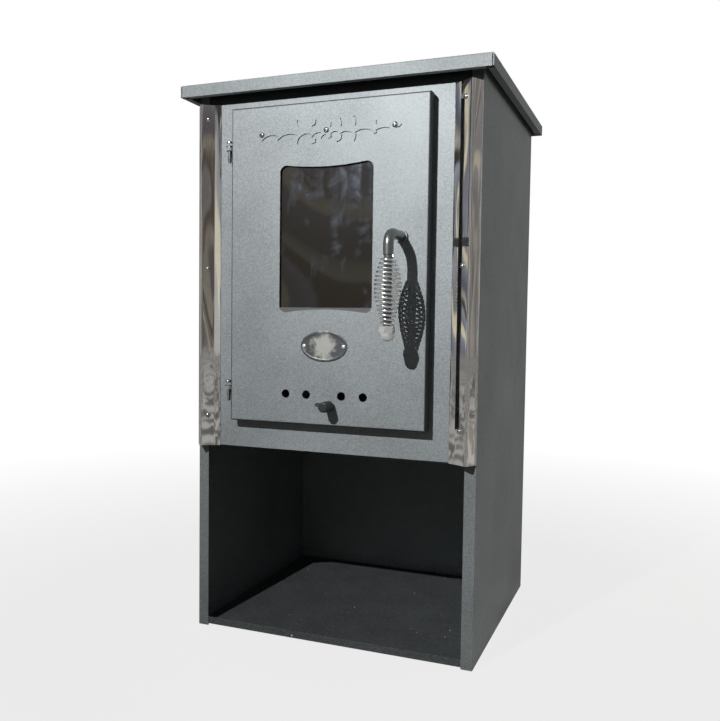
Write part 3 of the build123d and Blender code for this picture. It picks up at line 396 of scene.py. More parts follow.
@dataclass(frozen=True)
class SprayedPaint(Finish):
    """Heat-proof silicone paint with metal flake, sprayed: a fine dry grain over sheet steel.

    The real grain is about 0.4 mm; it is drawn coarser so that it shows in the render.
    """

    dark: str = "6E7374"
    light: str = "8F9596"
    flake: str = "C4CBCD"
    tone_levels: Pair = (0.57, 0.99)
    grain: float = 1.7
    grain_height: float = 0.12
    flake_size: float = 1.2
    flake_levels: Pair = (0.6, 1.0)
    flake_share: float = 0.14
    cloud: float = 130.0
    cloud_weight: float = 0.55
    cloud_height: float = 0.5
    roughness: float = 0.6
    roughness_swing: float = 0.08
    gloss_levels: Pair = (0.3, 0.7)
    metallic: float = 0.12
    specular: float = 0.2
    speck: str = "DAD9D3"
    speck_amount: float = 0.0
    speck_size: float = 13.0
    speck_reach: float = 0.11
    # Painted shade round a pan's folded outline: the pan's box, the dark band's width and its tone
    fold_low: Triple | None = None
    fold_high: Triple | None = None
    fold_width: float = 2.6
    fold_core: float = 0.5
    fold_shade_share: float = 0.9
    fold_shade_tone: str = "202324"

    def feeds(self, tree: Tree, where: Socket) -> dict[str, Any]:
        """Grain and clouds set the tone, flakes and specks lie over it, and painted shade can darken a pan's
        folds.

        Args:
            tree: The material's node tree.
            where: Object coordinates, in metres.

        Returns:
            As in Finish.
        """
        noise = {"Vector": where, "Detail": 3.0}
        grain = add_node(tree, "TexNoise", {**noise, "Scale": per_metre(self.grain), "Roughness": 0.6})
        cloud = add_node(tree, "TexNoise", {**noise, "Scale": per_metre(self.cloud)})
        tone = add_node(tree, "Math", (cloud, self.cloud_weight, grain), operation="MULTIPLY_ADD")
        stops = tuple(zip(self.tone_levels, (self.dark, self.light)))
        colour = add_node(tree, "ValToRGB", (tone,), stops)
        cells = add_node(tree, "TexVoronoi", {"Vector": where, "Scale": per_metre(self.flake_size)})
        chance = add_node(tree, "SeparateColor", (cells.outputs["Color"],))
        spark = add_node(tree, "MapRange", (chance, *self.flake_levels, 0.0, self.flake_share))
        colour = add_node(tree, "Mix", {0: spark, 6: colour, 7: self.flake}, data_type="RGBA")
        if self.speck_amount:
            crumbs = add_node(tree, "TexVoronoi", {"Vector": where, "Scale": per_metre(self.speck_size)})
            pick = add_node(tree, "SeparateColor", (crumbs.outputs["Color"],))
            size = add_node(
                tree, "MapRange", (pick, 1.0 - self.speck_amount, 1.0, 0.0, self.speck_reach)
            )
            inside = add_node(tree, "Math", (crumbs.outputs["Distance"], size), operation="LESS_THAN")
            colour = add_node(tree, "Mix", {0: inside, 6: colour, 7: self.speck}, data_type="RGBA")
        # Painted shade: a dark tone on the pan's folds and side faces
        if self.fold_low and self.fold_high:
            colour = self.paint_shade_on_folds(tree, where, colour)
        dull = (self.roughness - self.roughness_swing, self.roughness + self.roughness_swing)
        waves = add_node(
            tree, "Bump", {"Strength": 0.25, "Distance": self.cloud_height * MM, "Height": cloud}
        )
        relief = {"Strength": 0.45, "Distance": self.grain_height * MM, "Height": grain, "Normal": waves}
        return {
            "Base Color": colour,
            "Roughness": add_node(tree, "MapRange", (grain, *self.gloss_levels, *dull)),
            "Metallic": self.metallic,
            "Specular IOR Level": self.specular,
            "Normal": add_node(tree, "Bump", relief),
        }

    def paint_shade_on_folds(self, tree: Tree, where: Socket, colour: Node) -> Node:
        """Paints shade as a dark tone round the folded outline of a pan and over its side faces.

        Distance from the outline = max over x and z of |place - middle| - half the size.

        Args:
            tree: The material's node tree.
            where: Object coordinates, in metres.
            colour: Gives the colour of the paint.

        Returns:
            The node that gives the colour with painted shade on the folds.
        """
        lowest, highest = np.array(self.fold_low), np.array(self.fold_high)
        centre, half = (tuple(((highest + lowest * sign) / 2).tolist()) for sign in (1, -1))
        away = add_node(tree, "VectorMath", (where, centre), operation="SUBTRACT")
        mirrored = add_node(tree, "VectorMath", (away,), operation="ABSOLUTE")
        past = add_node(tree, "VectorMath", (mirrored, half), operation="SUBTRACT")
        axes = add_node(tree, "SeparateXYZ", (past,))
        outline = add_node(tree, "Math", (axes.outputs[0], axes.outputs[2]), operation="MAXIMUM")
        width = self.fold_width * MM
        edges = (-width, -self.fold_core * width, 0.0, self.fold_shade_share)
        share = add_node(tree, "MapRange", (outline, *edges))
        return add_node(tree, "Mix", {0: share, 6: colour, 7: self.fold_shade_tone}, data_type="RGBA")


@dataclass(frozen=True)
class MetalFinish(Finish):
    """Bare or coated metal: stretched scratches, smudges and spots over a base colour."""

    base: str = "C9CBCD"
    stain: str = "8C8E90"
    roughness: float = 0.25
    roughness_spread: float = 0.1
    metallic: float = 1.0
    smudge: float = 40.0
    stain_levels: Pair = (0.42, 0.72)
    stain_amount: float = 0.4
    gloss_levels: Pair = (0.12, 0.42)
    scratch: Triple = (1.2, 1.2, 90.0)
    scratch_height: float = 0.02
    pit: float = 0.0
    pit_height: float = 0.1
    worn_at: Triple | None = None
    worn_reach: float = 22.0
    worn_core: float = 0.3
    worn_change: Pair = (-0.22, 0.3)

    def feeds(self, tree: Tree, where: Socket) -> dict[str, Any]:
        """Smudges mix the two colours, scratches roughen and mark, pits roughen castings.

        Args:
            tree: The material's node tree.
            where: Object coordinates, in metres.

        Returns:
            As in Finish.
        """
        noise = {"Vector": where, "Detail": 4.0}
        smudge = add_node(tree, "TexNoise", {**noise, "Scale": per_metre(self.smudge), "Roughness": 0.6})
        drawn = add_node(tree, "Mapping", {0: where, 3: tuple(per_metre(size) for size in self.scratch)})
        lines = add_node(tree, "TexNoise", {"Vector": drawn, "Scale": 1.0, "Detail": 3.0})
        dullness = smudge
        if self.worn_at:
            reach = self.worn_reach * MM
            away = add_node(tree, "VectorMath", (where, self.worn_at), operation="DISTANCE")
            span = (self.worn_core * reach, reach, *self.worn_change)
            rubbed = add_node(tree, "MapRange", (away, *span))
            dullness = add_node(tree, "Math", (smudge, rubbed))
        share = add_node(tree, "MapRange", (dullness, *self.stain_levels, 0.0, self.stain_amount))
        blend = add_node(tree, "Math", (smudge, lines), operation="MULTIPLY")
        dull = (self.roughness, self.roughness + self.roughness_spread)
        relief = add_node(
            tree, "Bump", {"Strength": 0.25, "Distance": self.scratch_height * MM, "Height": lines}
        )
        if self.pit:
            pits = add_node(tree, "TexNoise", {**noise, "Scale": per_metre(self.pit), "Roughness": 0.7})
            pitted = {"Strength": 0.6, "Distance": self.pit_height * MM, "Height": pits, "Normal": relief}
            relief = add_node(tree, "Bump", pitted)
        return {
            "Base Color": add_node(
                tree, "Mix", {0: share, 6: self.base, 7: self.stain}, data_type="RGBA"
            ),
            "Roughness": add_node(tree, "MapRange", (blend, *self.gloss_levels, *dull)),
            "Metallic": self.metallic,
            "Normal": relief,
        }


@dataclass(frozen=True)
class PressedBrick(Finish):
    """Pressed vermiculite fire brick: tan, matt, with gold flakes of 2 to 3 mm and open pores."""

    base: str = "B9A27C"
    flake: str = "DCC89C"
    pore: str = "7C6A4E"
    flake_size: float = 2.8
    pore_size: float = 5.0
    pore_depth: float = 0.5
    pore_levels: Pair = (0.55, 0.7)
    pore_share: float = 0.5
    base_levels: Pair = (0.25, 0.7)

    def feeds(self, tree: Tree, where: Socket) -> dict[str, Any]:
        """Flakes are random cells, pores are the dark side of a noise.

        Args:
            tree: The material's node tree.
            where: Object coordinates, in metres.

        Returns:
            As in Finish.
        """
        cells = add_node(tree, "TexVoronoi", {"Vector": where, "Scale": per_metre(self.flake_size)})
        chance = add_node(tree, "SeparateColor", (cells.outputs["Color"],))
        start, end = self.base_levels
        tones = ((0.0, self.pore), (start, self.base), (end, self.base), (1.0, self.flake))
        colour = add_node(tree, "ValToRGB", (chance.outputs[1],), tones)
        noise = {"Vector": where, "Scale": per_metre(self.pore_size), "Detail": 5.0, "Roughness": 0.7}
        pores = add_node(tree, "TexNoise", noise)
        share = add_node(tree, "MapRange", (pores, *self.pore_levels, 0.0, self.pore_share))
        relief = {"Strength": 0.7, "Distance": self.pore_depth * MM, "Height": pores}
        return {
            "Base Color": add_node(tree, "Mix", {0: share, 6: colour, 7: self.pore}, data_type="RGBA"),
            "Roughness": 0.95,
            "Normal": add_node(tree, "Bump", relief),
        }


@dataclass(frozen=True)
class SootedGlass(Finish):
    """Glass ceramic, 4 mm: dark and clear with a wiped grey-blue haze left on it; the grey-blue also rises
    towards the upper right corner.
    """

    tint: str = "47433C"
    haze: str = "4F5560"
    haze_size: float = 30.0
    wipe: Triple = (16.0, 60.0, 64.0)
    grey_blue_corner: Triple = (0.045, -0.187, 0.622)
    corner_span: Pair = (0.01, 0.13)
    corner_change: Pair = (0.1, -0.06)
    haze_levels: Pair = (0.25, 0.48)
    wipe_turn: float = 0.5
    clearness: Pair = (0.66, 0.32)
    roughness: Pair = (0.03, 0.22)

    def feeds(self, tree: Tree, where: Socket) -> dict[str, Any]:
        """A warped noise gives the wiped haze, which is less clear than the bare glass.

        Args:
            tree: The material's node tree.
            where: Object coordinates, in metres.

        Returns:
            As in Finish.
        """
        warped = {"Scale": per_metre(self.haze_size), "Detail": 4.0, "Roughness": 0.55, "Distortion": 1.4}
        swirl = add_node(tree, "TexNoise", {"Vector": where, **warped})
        wiped = {0: where, 2: (0.0, self.wipe_turn, 0.0), 3: tuple(per_metre(size) for size in self.wipe)}
        drawn = {"Vector": add_node(tree, "Mapping", wiped), "Scale": 1.0, "Detail": 2.0, "Distortion": 0.6}
        sweep = add_node(tree, "TexNoise", drawn)
        product = add_node(tree, "Math", (swirl, sweep), operation="MULTIPLY")
        # The grey-blue, less clear share rises towards the upper right corner
        away = add_node(tree, "VectorMath", (where, self.grey_blue_corner), operation="DISTANCE")
        near = add_node(tree, "MapRange", (away, *self.corner_span, *self.corner_change))
        both = add_node(tree, "Math", (product, near))
        share = add_node(tree, "MapRange", (both, *self.haze_levels, 0.0, 1.0))
        return {
            "Base Color": add_node(tree, "Mix", {0: share, 6: self.tint, 7: self.haze}, data_type="RGBA"),
            "Transmission Weight": add_node(tree, "MapRange", (share, 0.0, 1.0, *self.clearness)),
            "Roughness": add_node(tree, "MapRange", (share, 0.0, 1.0, *self.roughness)),
            "IOR": 1.5,
        }


@dataclass(frozen=True)
class BraidedFibre(Finish):
    """Braided glass fibre: matt, with yarns of about 2 mm that cross."""

    base: str = "B5B0A4"
    shade: str = "6F6B62"
    yarn: float = 2.0
    yarn_height: float = 0.4
    slant: float = 0.78
    shade_levels: Pair = (0.1, 0.8)

    def feeds(self, tree: Tree, where: Socket) -> dict[str, Any]:
        """Crossed diagonal waves, each four yarns long, give the weave.

        Args:
            tree: The material's node tree.
            where: Object coordinates, in metres.

        Returns:
            As in Finish.
        """
        wave = {"Scale": per_metre(self.yarn * 4.0), "Distortion": 0.6, "Detail": 1.0}
        crossed = []
        for turn in (self.slant, -self.slant):
            turned = add_node(tree, "Mapping", {0: where, 2: (0.0, turn, 0.0)})
            bands = add_node(tree, "TexWave", {"Vector": turned, **wave}, bands_direction="X")
            crossed.append(bands.outputs[1])
        weave = add_node(tree, "Math", crossed, operation="MAXIMUM")
        relief = {"Strength": 0.6, "Distance": self.yarn_height * MM, "Height": weave}
        stops = tuple(zip(self.shade_levels, (self.shade, self.base)))
        return {
            "Base Color": add_node(tree, "ValToRGB", (weave,), stops),
            "Roughness": 0.9,
            "Normal": add_node(tree, "Bump", relief),
        }


# Dull grey with a dry grain and a faint sparkle
CASING_PAINT = SprayedPaint("heatproof_paint_sprayed_casing")
# The same paint made paler for the sheets that face the lamp: painted light
LAMP_LIT_PALER_PAINT = SprayedPaint("heatproof_paint_sprayed_door", dark="7C8183", light="9CA2A4")
# Darker for painted shade in the log store, with pale dust crumbs
SHADED_DUSTY_PAINT = SprayedPaint(
    "heatproof_paint_dusty_tray", dark="474A4B", light="5B5F60", speck_amount=0.3, cloud=60.0
)
# Mirror with finger marks and fine upright scratches
POLISHED_STAINLESS = MetalFinish(
    "stainless_polished_handled", base="E2E0DB", stain="BCB8B0", roughness=0.02, roughness_spread=0.06,
    smudge=55.0, scratch=(0.9, 0.9, 120.0), scratch_height=0.003,
)
# Bright and slightly milky
ZINC_PLATE = MetalFinish(
    "zinc_plated_steel_wire", base="F7F8F7", stain="CED1D2", roughness=0.15, smudge=9.0,
    scratch=(0.8, 0.8, 0.8),
)
# Milkier than the wire
ZINC_NUT = MetalFinish(
    "zinc_plated_domed_nut", base="FAFBF9", stain="BDC0BF", roughness=0.22, smudge=7.0, metallic=0.72,
    scratch=(1.5, 1.5, 6.0),
)
# Zinc that a driver and time have dulled
SCREW_STEEL = MetalFinish(
    "zinc_plated_screw_heads", base="B9BCBE", stain="6D6F70", roughness=0.24, smudge=5.0,
    stain_amount=0.6, scratch=(0.6, 0.6, 0.6),
)
# Dark grey with a soft sheen along the bar
BLACKENED_BAR = MetalFinish(
    "black_oxide_on_bent_bar", base="7E8282", stain="55585A", roughness=0.28, metallic=0.9, smudge=18.0,
    scratch=(1.0, 1.0, 30.0),
)
# Nearly black, with the orange peel of brushed paint; on the top rail it is painted shade
BLACK_PAINT_AND_PAINTED_SHADE = MetalFinish(
    "black_stove_paint_on_bar", base="26282A", stain="3B3D3F", roughness=0.4, metallic=0.1, smudge=14.0,
    scratch=(1.0, 1.0, 1.0), pit=1.3, pit_height=0.08,
)
# Blue-grey steel with brown stains from the rolls
MILL_SCALE_STEEL = MetalFinish(
    "hot_rolled_steel_mill_scale", base="5E6266", stain="45413D", roughness=0.42, roughness_spread=0.2,
    metallic=0.8, smudge=60.0, stain_amount=0.7, scratch=(2.0, 2.0, 60.0),
)
# Dark and grainy from the sand mould
SAND_CAST_IRON = MetalFinish(
    "grey_iron_sand_cast", base="4A4A4B", stain="2E2C2B", roughness=0.6, metallic=0.7, smudge=25.0,
    scratch=(1.5, 1.5, 1.5), pit=1.4, pit_height=0.5,
)
# Pale where it is rubbed, dark where the etch holds dirt
AGED_BADGE = MetalFinish(
    "etched_zinc_sheet_rubbed", base="B2B3AC", stain="55575A", roughness=0.36, roughness_spread=0.2,
    metallic=0.55, smudge=8.0, stain_amount=1.0, scratch=(1.2, 1.2, 14.0), pit=1.6, pit_height=0.12,
)
FIRE_BRICK = PressedBrick("vermiculite_brick_pressed")
WINDOW_GLASS = SootedGlass("glass_ceramic_hazed")
# Pale rope
SEAL_FIBRE = BraidedFibre("glass_fibre_rope_braided")
# Grey tape with a finer weave
GASKET_TAPE = BraidedFibre("glass_fibre_tape_grey", base="666968", shade="484A49", yarn=1.2)


# Frame


def low(node: str) -> np.ndarray:
    """Lowest corner of a CAD node, in millimetres."""
    return np.array(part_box(node)[0]) / MM


def high(node: str) -> np.ndarray:
    """Highest corner of a CAD node, in millimetres."""
    return np.array(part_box(node)[1]) / MM


def middle(node: str) -> np.ndarray:
    """Middle of a CAD node's box, in millimetres."""
    return (low(node) + high(node)) / 2


def two_columns(node: str, inset: float, depth: float, rows: int) -> list[Triple]:
    """Seats of two upright columns of screws.

    Args:
        node: CAD node whose box the columns stand in.
        inset: From the box's edges to the screws' axes.
        depth: Place of the seats along y.
        rows: Screws in each column.

    Returns:
        The seats.
    """
    lowest, highest = low(node) + inset, high(node) - inset
    return [(x, depth, z) for x in (lowest[0], highest[0]) for z in np.linspace(lowest[2], highest[2], rows)]


@dataclass
class SubAssembly:
    """Pieces of the stove that are built and dressed together."""

    pieces: dict[str, bpy.types.Object] = field(default_factory=dict)

    def build(self) -> None:
        """Makes the sub-assembly's own meshes."""

    def dress(self) -> None:
        """Gives every piece and kept CAD node its finish."""

    def settle(self, name: str, mesh: bpy.types.Mesh, nodes: Sequence[str]) -> bpy.types.Object:
        """Puts a mesh in the scene as a piece that stands for CAD nodes.

        Args:
            name: The piece's name.
            mesh: Its mesh, in metres, in the frame's axes.
            nodes: CAD nodes that it replaces; it rides with the first.

        Returns:
            The piece.
        """
        piece = bpy.data.objects.new(name, mesh)
        bpy.context.scene.collection.objects.link(piece)
        mesh.polygons.foreach_set("use_smooth", np.ones(len(mesh.polygons), bool))
        mesh.set_sharp_from_angle(angle=SMOOTH_ANGLE)
        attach(piece, frame["nodes"][nodes[0]]["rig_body"])
        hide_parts(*nodes)
        self.pieces[name] = piece
        return piece

    def add(self, name: str, parts: Sequence[Surface], *nodes: str) -> None:
        """Joins surfaces into one piece with its faces turned outwards.

        Args:
            name: The piece's name.
            parts: Closed surfaces, in millimetres.
            nodes: CAD nodes that the piece replaces.
        """
        points: list[list[float]] = []
        faces: list[list[int]] = []
        for part in parts:
            faces += [[corner + len(points) for corner in face] for face in part.faces]
            points += (part.points * MM).tolist()
        mesh = bpy.data.meshes.new(name)
        mesh.from_pydata(points, [], faces)
        work = bmesh.new()
        work.from_mesh(mesh)
        bmesh.ops.remove_doubles(work, verts=work.verts, dist=WELD)
        bmesh.ops.dissolve_degenerate(work, edges=work.edges, dist=WELD)
        bmesh.ops.recalc_face_normals(work, faces=work.faces)
        work.to_mesh(mesh)
        work.free()
        self.settle(name, mesh, nodes)

    def soften(self, width: float, *nodes: str, segments: int = 2) -> None:
        """Stands merged copies of CAD nodes, with their sharp edges bevelled, for the nodes.

        Args:
            width: Width of the bevel, in millimetres.
            nodes: The CAD nodes.
            segments: Faces across the bevel.
        """
        for node in nodes:
            mesh = frame["nodes"][node].data.copy()
            work = bmesh.new()
            work.from_mesh(mesh)
            bmesh.ops.remove_doubles(work, verts=work.verts, dist=WELD)
            bmesh.ops.dissolve_limit(work, angle_limit=FLAT_ANGLE, verts=work.verts, edges=work.edges)
            work.to_mesh(mesh)
            work.free()
            bevel = self.settle(node + "_eased", mesh, [node]).modifiers.new("eased_edges", "BEVEL")
            bevel.width = width * MM
            bevel.segments = segments
            bevel.limit_method = "ANGLE"
            bevel.angle_limit = SMOOTH_ANGLE
            bevel.harden_normals = True

    def paint(self, finish: Finish, *names: str) -> None:
        """Gives pieces, or CAD nodes that stay, one finish.

        Args:
            finish: The finish.
            names: Names of pieces, of softened nodes or of CAD nodes.
        """
        for name in names:
            piece = self.pieces.get(name) or self.pieces.get(name + "_eased") or frame["nodes"][name]
            piece.data.materials.clear()
            piece.data.materials.append(finish.material())

    def report(self) -> None:
        """Logs each piece with its face count."""
        for name, piece in self.pieces.items():
            LOG.info("%s: %s, %d faces", type(self).__name__, name, len(piece.data.polygons))


@dataclass(frozen=True)
class PanScrew:
    """Pan-head screw with a cross recess, drawn as a height over a disc.

    point holds shares of the shank's radius and their distances from its end.
    """

    head_radius: float = 3.4
    head_height: float = 2.2
    shank_radius: float = 1.9
    recess: float = 1.3
    arm_half_width: float = 0.42
    arm_reach: float = 1.9
    wall_run: float = 0.25
    end_run: float = 0.7
    sunk: float = 0.3
    point: tuple[Pair, ...] = ((0.0, 0.0), (0.55, 1.0), (1.0, 3.0))
    steps: int = 40
    rings: int = 22
    shank_steps: int = 16

    def surfaces(self, seat: Triple, axis: Triple, length: float) -> list[Surface]:
        """Head and shank of one screw.

        Head height h(r) = H * (1 - (r / R)^3.2)^0.55, less the recess where either arm of
        the cross covers the point; the cross has soft walls, and the shank ends in a point.

        Args:
            seat: Middle of the head's underside.
            axis: Direction out of the head.
            length: Length of the shank.

        Returns:
            The head's and the shank's surfaces.
        """
        share = np.sin(np.linspace(0, QUARTER, self.rings))
        radius = (self.head_radius * share)[:, None]
        x, y = (radius * way for way in around(angles(self.steps)).T)

        def arm(across: np.ndarray, reach: np.ndarray) -> np.ndarray:
            """Share of the recess at a point for one arm, 0 to 1."""
            wall = np.clip((self.arm_half_width - np.abs(across)) / self.wall_run + 0.5, 0, 1)
            return wall * np.clip((self.arm_reach - np.abs(reach)) / self.end_run, 0, 1)

        dome = self.head_height * (1 - share**3.2) ** 0.55
        height = dome[:, None] - self.recess * np.maximum(arm(x, y), arm(y, x))
        foot = np.zeros((1, self.steps))
        radii = np.concatenate([np.broadcast_to(radius, height.shape), foot])
        head = lathe(radii, np.concatenate([height, foot]), seat, axis, self.steps)
        narrowing, back = np.array(self.point).T
        shank = self.shank_radius * np.append(narrowing, [1.0, 0.0])
        along = np.append(back - length, [self.sunk, self.sunk])
        return [head, lathe(shank, along, seat, axis, self.shank_steps)]

    def row(self, seats: Sequence[Triple], axis: Triple, length: float) -> list[Surface]:
        """Surfaces of the same screw at each of several seats."""
        return [part for seat in seats for part in self.surfaces(seat, axis, length)]


@dataclass
class Casing(SubAssembly):
    """Side panels, front plate, lid, rear panel and the bright corner trims."""

    trim_corners: tuple[Pair, ...] = (
        (34.7, 0.0), (26.5, 3.2), (9.7, 13.6), (2.2, 0.0), (0.0, 0.0),
    )
    trim_sheet: float = 0.8
    trim_bend: float = 2.0
    trim_samples: int = 9
    trim_rows: int = 150
    wave_height: float = 0.11
    wave_lengths: Triple = (31.0, 17.0, 8.3)
    wave_drift: float = 0.11
    wave_shift: float = 1.7
    wave_base: float = 0.5
    wave_swing: float = 0.22
    fine_share: float = 0.4
    screw_along_facet: float = 0.4
    screw_ends: Pair = (42.0, 20.0)
    screw_length: float = 17.0
    rear_screw_length: float = 6.5
    rear_screw_rows: int = 5
    screw: PanScrew = PanScrew()
    rear_screw: PanScrew = PanScrew(head_radius=3.6)
    panel_edge: float = 0.6
    sheet_edge: float = 0.45

    def trim(self, side: Side) -> Surface:
        """One corner trim: a bent profile carried up the corner, slightly wavy.

        point(s, z) = line(s) + normal(s) * (offset + wave * flat(s) * f(z, s)), where f is
        a half plus three sines of the height.

        Args:
            side: Side of the stove.

        Returns:
            The closed sheet.
        """
        node = "corner_trim_" + side.name.lower()
        line, flat = rounded_line(np.array(self.trim_corners), self.trim_bend, self.trim_samples)
        step = np.gradient(line, axis=0)
        normal = unit(step)[:, ::-1] * np.array([-1.0, 1.0])
        normal *= np.sign(normal[len(normal) // 2, 1])
        z = np.linspace(low(node)[2], high(node)[2], self.trim_rows)[:, None]
        phase = np.cumsum(np.linalg.norm(step, axis=1))[None] * self.wave_drift
        slow, quick, fine = (z / length for length in self.wave_lengths)
        wave = np.sin(slow + phase + self.wave_shift * side.value) + np.sin(quick - 2 * phase)
        wave = self.wave_base + self.wave_swing * (wave + self.fine_share * np.sin(fine))
        wave = self.wave_height * flat[None] * wave
        edge, face = side.value * high("front_plate")[0], low("front_plate")[1]

        def sheet(offset: float) -> np.ndarray:
            """Grid of one face of the sheet."""
            inset, out = (line[None, :, i] + normal[None, :, i] * (offset + wave) for i in (0, 1))
            return np.stack(np.broadcast_arrays(edge - side.value * inset, face - out, z), axis=-1)

        return shell(sheet(self.trim_sheet), sheet(0.0))

    def trim_screws(self) -> list[Surface]:
        """Six screws, square to the wide facet of the trims.

        Returns:
            Heads and shanks.
        """
        (crease_in, crease_out), (ridge_in, ridge_out) = self.trim_corners[1:3]
        run, rise = crease_in - ridge_in, ridge_out - crease_out
        toward, outward = rise / math.hypot(run, rise), run / math.hypot(run, rise)
        inset = crease_in - run * self.screw_along_facet + self.trim_sheet * toward
        stand = crease_out + rise * self.screw_along_facet + self.trim_sheet * outward
        first = low("corner_trim_left")[2] + self.screw_ends[0]
        last = high("corner_trim_left")[2] - self.screw_ends[1]
        y = low("front_plate")[1] - stand
        parts = []
        for side in Side:
            x = side.value * (high("front_plate")[0] - inset)
            seats = [(x, y, z) for z in (first, (first + last) / 2, last)]
            parts += self.screw.row(seats, (-side.value * toward, -outward, 0.0), self.screw_length)
        return parts

    def build(self) -> None:
        """Makes the trims and screws, and eases the folded sheets."""
        for side in Side:
            name = side.name.lower()
            self.add("bright_trim_" + name, [self.trim(side)], "corner_trim_" + name)
        self.add("trim_screw_set", self.trim_screws(), "trim_screws")
        back = high("side_panel_left")[1]
        seats = two_columns("rear_screws", self.rear_screw.head_radius, back, self.rear_screw_rows)
        rear = self.rear_screw.row(seats, (0, 1, 0), self.rear_screw_length)
        self.add("rear_screw_set", rear, "rear_screws")
        self.soften(self.panel_edge, "side_panel_left", "side_panel_right", segments=3)
        self.soften(self.sheet_edge, "front_plate", "lid", "rear_panel", "top_rail")

    def dress(self) -> None:
        """Paint on the sheets, polish on the trims, zinc on the screws."""
        self.paint(CASING_PAINT, "side_panel_left", "side_panel_right", "lid", "rear_panel")
        # Painted light: the front plate gets the paler copy of the paint because it faces the lamp
        self.paint(LAMP_LIT_PALER_PAINT, "front_plate")
        # Painted shade: the rail in the gap under the lid is painted black for the shade there
        self.paint(BLACK_PAINT_AND_PAINTED_SHADE, "top_rail")
        self.paint(POLISHED_STAINLESS, "bright_trim_left", "bright_trim_right")
        self.paint(SCREW_STEEL, "trim_screw_set", "rear_screw_set")


@dataclass
class LogStore(SubAssembly):
    """Tray, back sheet and ceiling of the open store under the fire."""

    edge: float = 0.45

    def build(self) -> None:
        """Eases the sheets."""
        self.soften(self.edge, "base_tray", "niche_back", "niche_ceiling")

    def dress(self) -> None:
        """The tray carries painted shade and dust crumbs, the rest is painted as the casing."""
        # Painted shade: the tray's darker paint stands for the shade in the store
        self.paint(SHADED_DUSTY_PAINT, "base_tray")
        self.paint(CASING_PAINT, "niche_back", "niche_ceiling")


@dataclass
class Firebox(SubAssembly):
    """Welded box, bricks, grate, ash pan and what carries them."""

    plates: tuple[str, ...] = ("firebox_shell", "grate_shelf", "ember_guard", "latch_keeper")
    thin_sheets: tuple[str, ...] = ("shelf_ledges", "ash_pan", "ash_pan_guides", "firebox_stays")
    bricks: tuple[str, ...] = ("side_brick_left", "side_brick_right", "rear_brick", "baffle_plate")
    plate_edge: float = 0.6
    sheet_edge: float = 0.4
    brick_edge: float = 1.6
    iron_edge: float = 0.8

    def build(self) -> None:
        """Eases steel, iron and brick."""
        self.soften(self.plate_edge, *self.plates)
        self.soften(self.sheet_edge, *self.thin_sheets)
        self.soften(self.brick_edge, *self.bricks, segments=3)
        self.soften(self.iron_edge, "grate")

    def dress(self) -> None:
        """Scale on the steel, sand-cast iron on the grate, pressed brick on the linings."""
        self.paint(MILL_SCALE_STEEL, *self.plates, *self.thin_sheets)
        self.paint(FIRE_BRICK, *self.bricks)
        self.paint(SAND_CAST_IRON, "grate")


@dataclass
class FlueOutlet(SubAssembly):
    """Duct from the firebox and the spigot behind the stove."""

    spigot: float = 60.0
    wall: float = 2.0
    flange_radius: float = 68.0
    flange: float = 2.0
    shoulder: float = 1.5
    stop_gap: float = 3.0
    bead: float = 1.2
    bead_half_width: float = 5.0
    bead_share: float = 0.45
    bead_samples: int = 11
    chamfer: float = 0.6
    roll: float = 0.7
    steps: int = 96

    def build(self) -> None:
        """Turned collar: flange, duct, shoulder, a pressed bead and a rolled end.

        The profile goes out along the outside and back along the bore; the bead stands
        bead * cos(s * 90 degrees) over the spigot, s from -1 to 1 across it.
        """
        start, end = low("flue_collar")[1], high("flue_collar")[1]
        stop = high("side_panel_left")[1] + self.stop_gap
        spigot, duct, bore = self.spigot, self.spigot + self.shoulder, self.spigot - self.wall
        bead_at = stop + (end - stop) * self.bead_share
        chamfer, roll = self.chamfer, self.roll
        profile = np.array([
            (self.flange_radius, start), (self.flange_radius, start + self.flange),
            (duct, start + self.flange), (duct, stop - chamfer), (duct - chamfer, stop), (spigot, stop),
            *[
                (spigot + self.bead * math.cos(s * QUARTER), bead_at + self.bead_half_width * s)
                for s in np.linspace(-1, 1, self.bead_samples)
            ],
            (spigot, end - roll), (spigot - roll, end), (bore, end - chamfer), (bore, start),
            (self.flange_radius, start),
        ])
        origin = tuple(middle("flue_collar") * np.array([1.0, 0.0, 1.0]))
        collar = lathe(profile[:, 0], profile[:, 1], origin, (0, 1, 0), self.steps, caps=False)
        self.add("flue_spigot_turned", [collar], "flue_collar")

    def dress(self) -> None:
        """Black stove paint."""
        self.paint(BLACK_PAINT_AND_PAINTED_SHADE, "flue_spigot_turned")


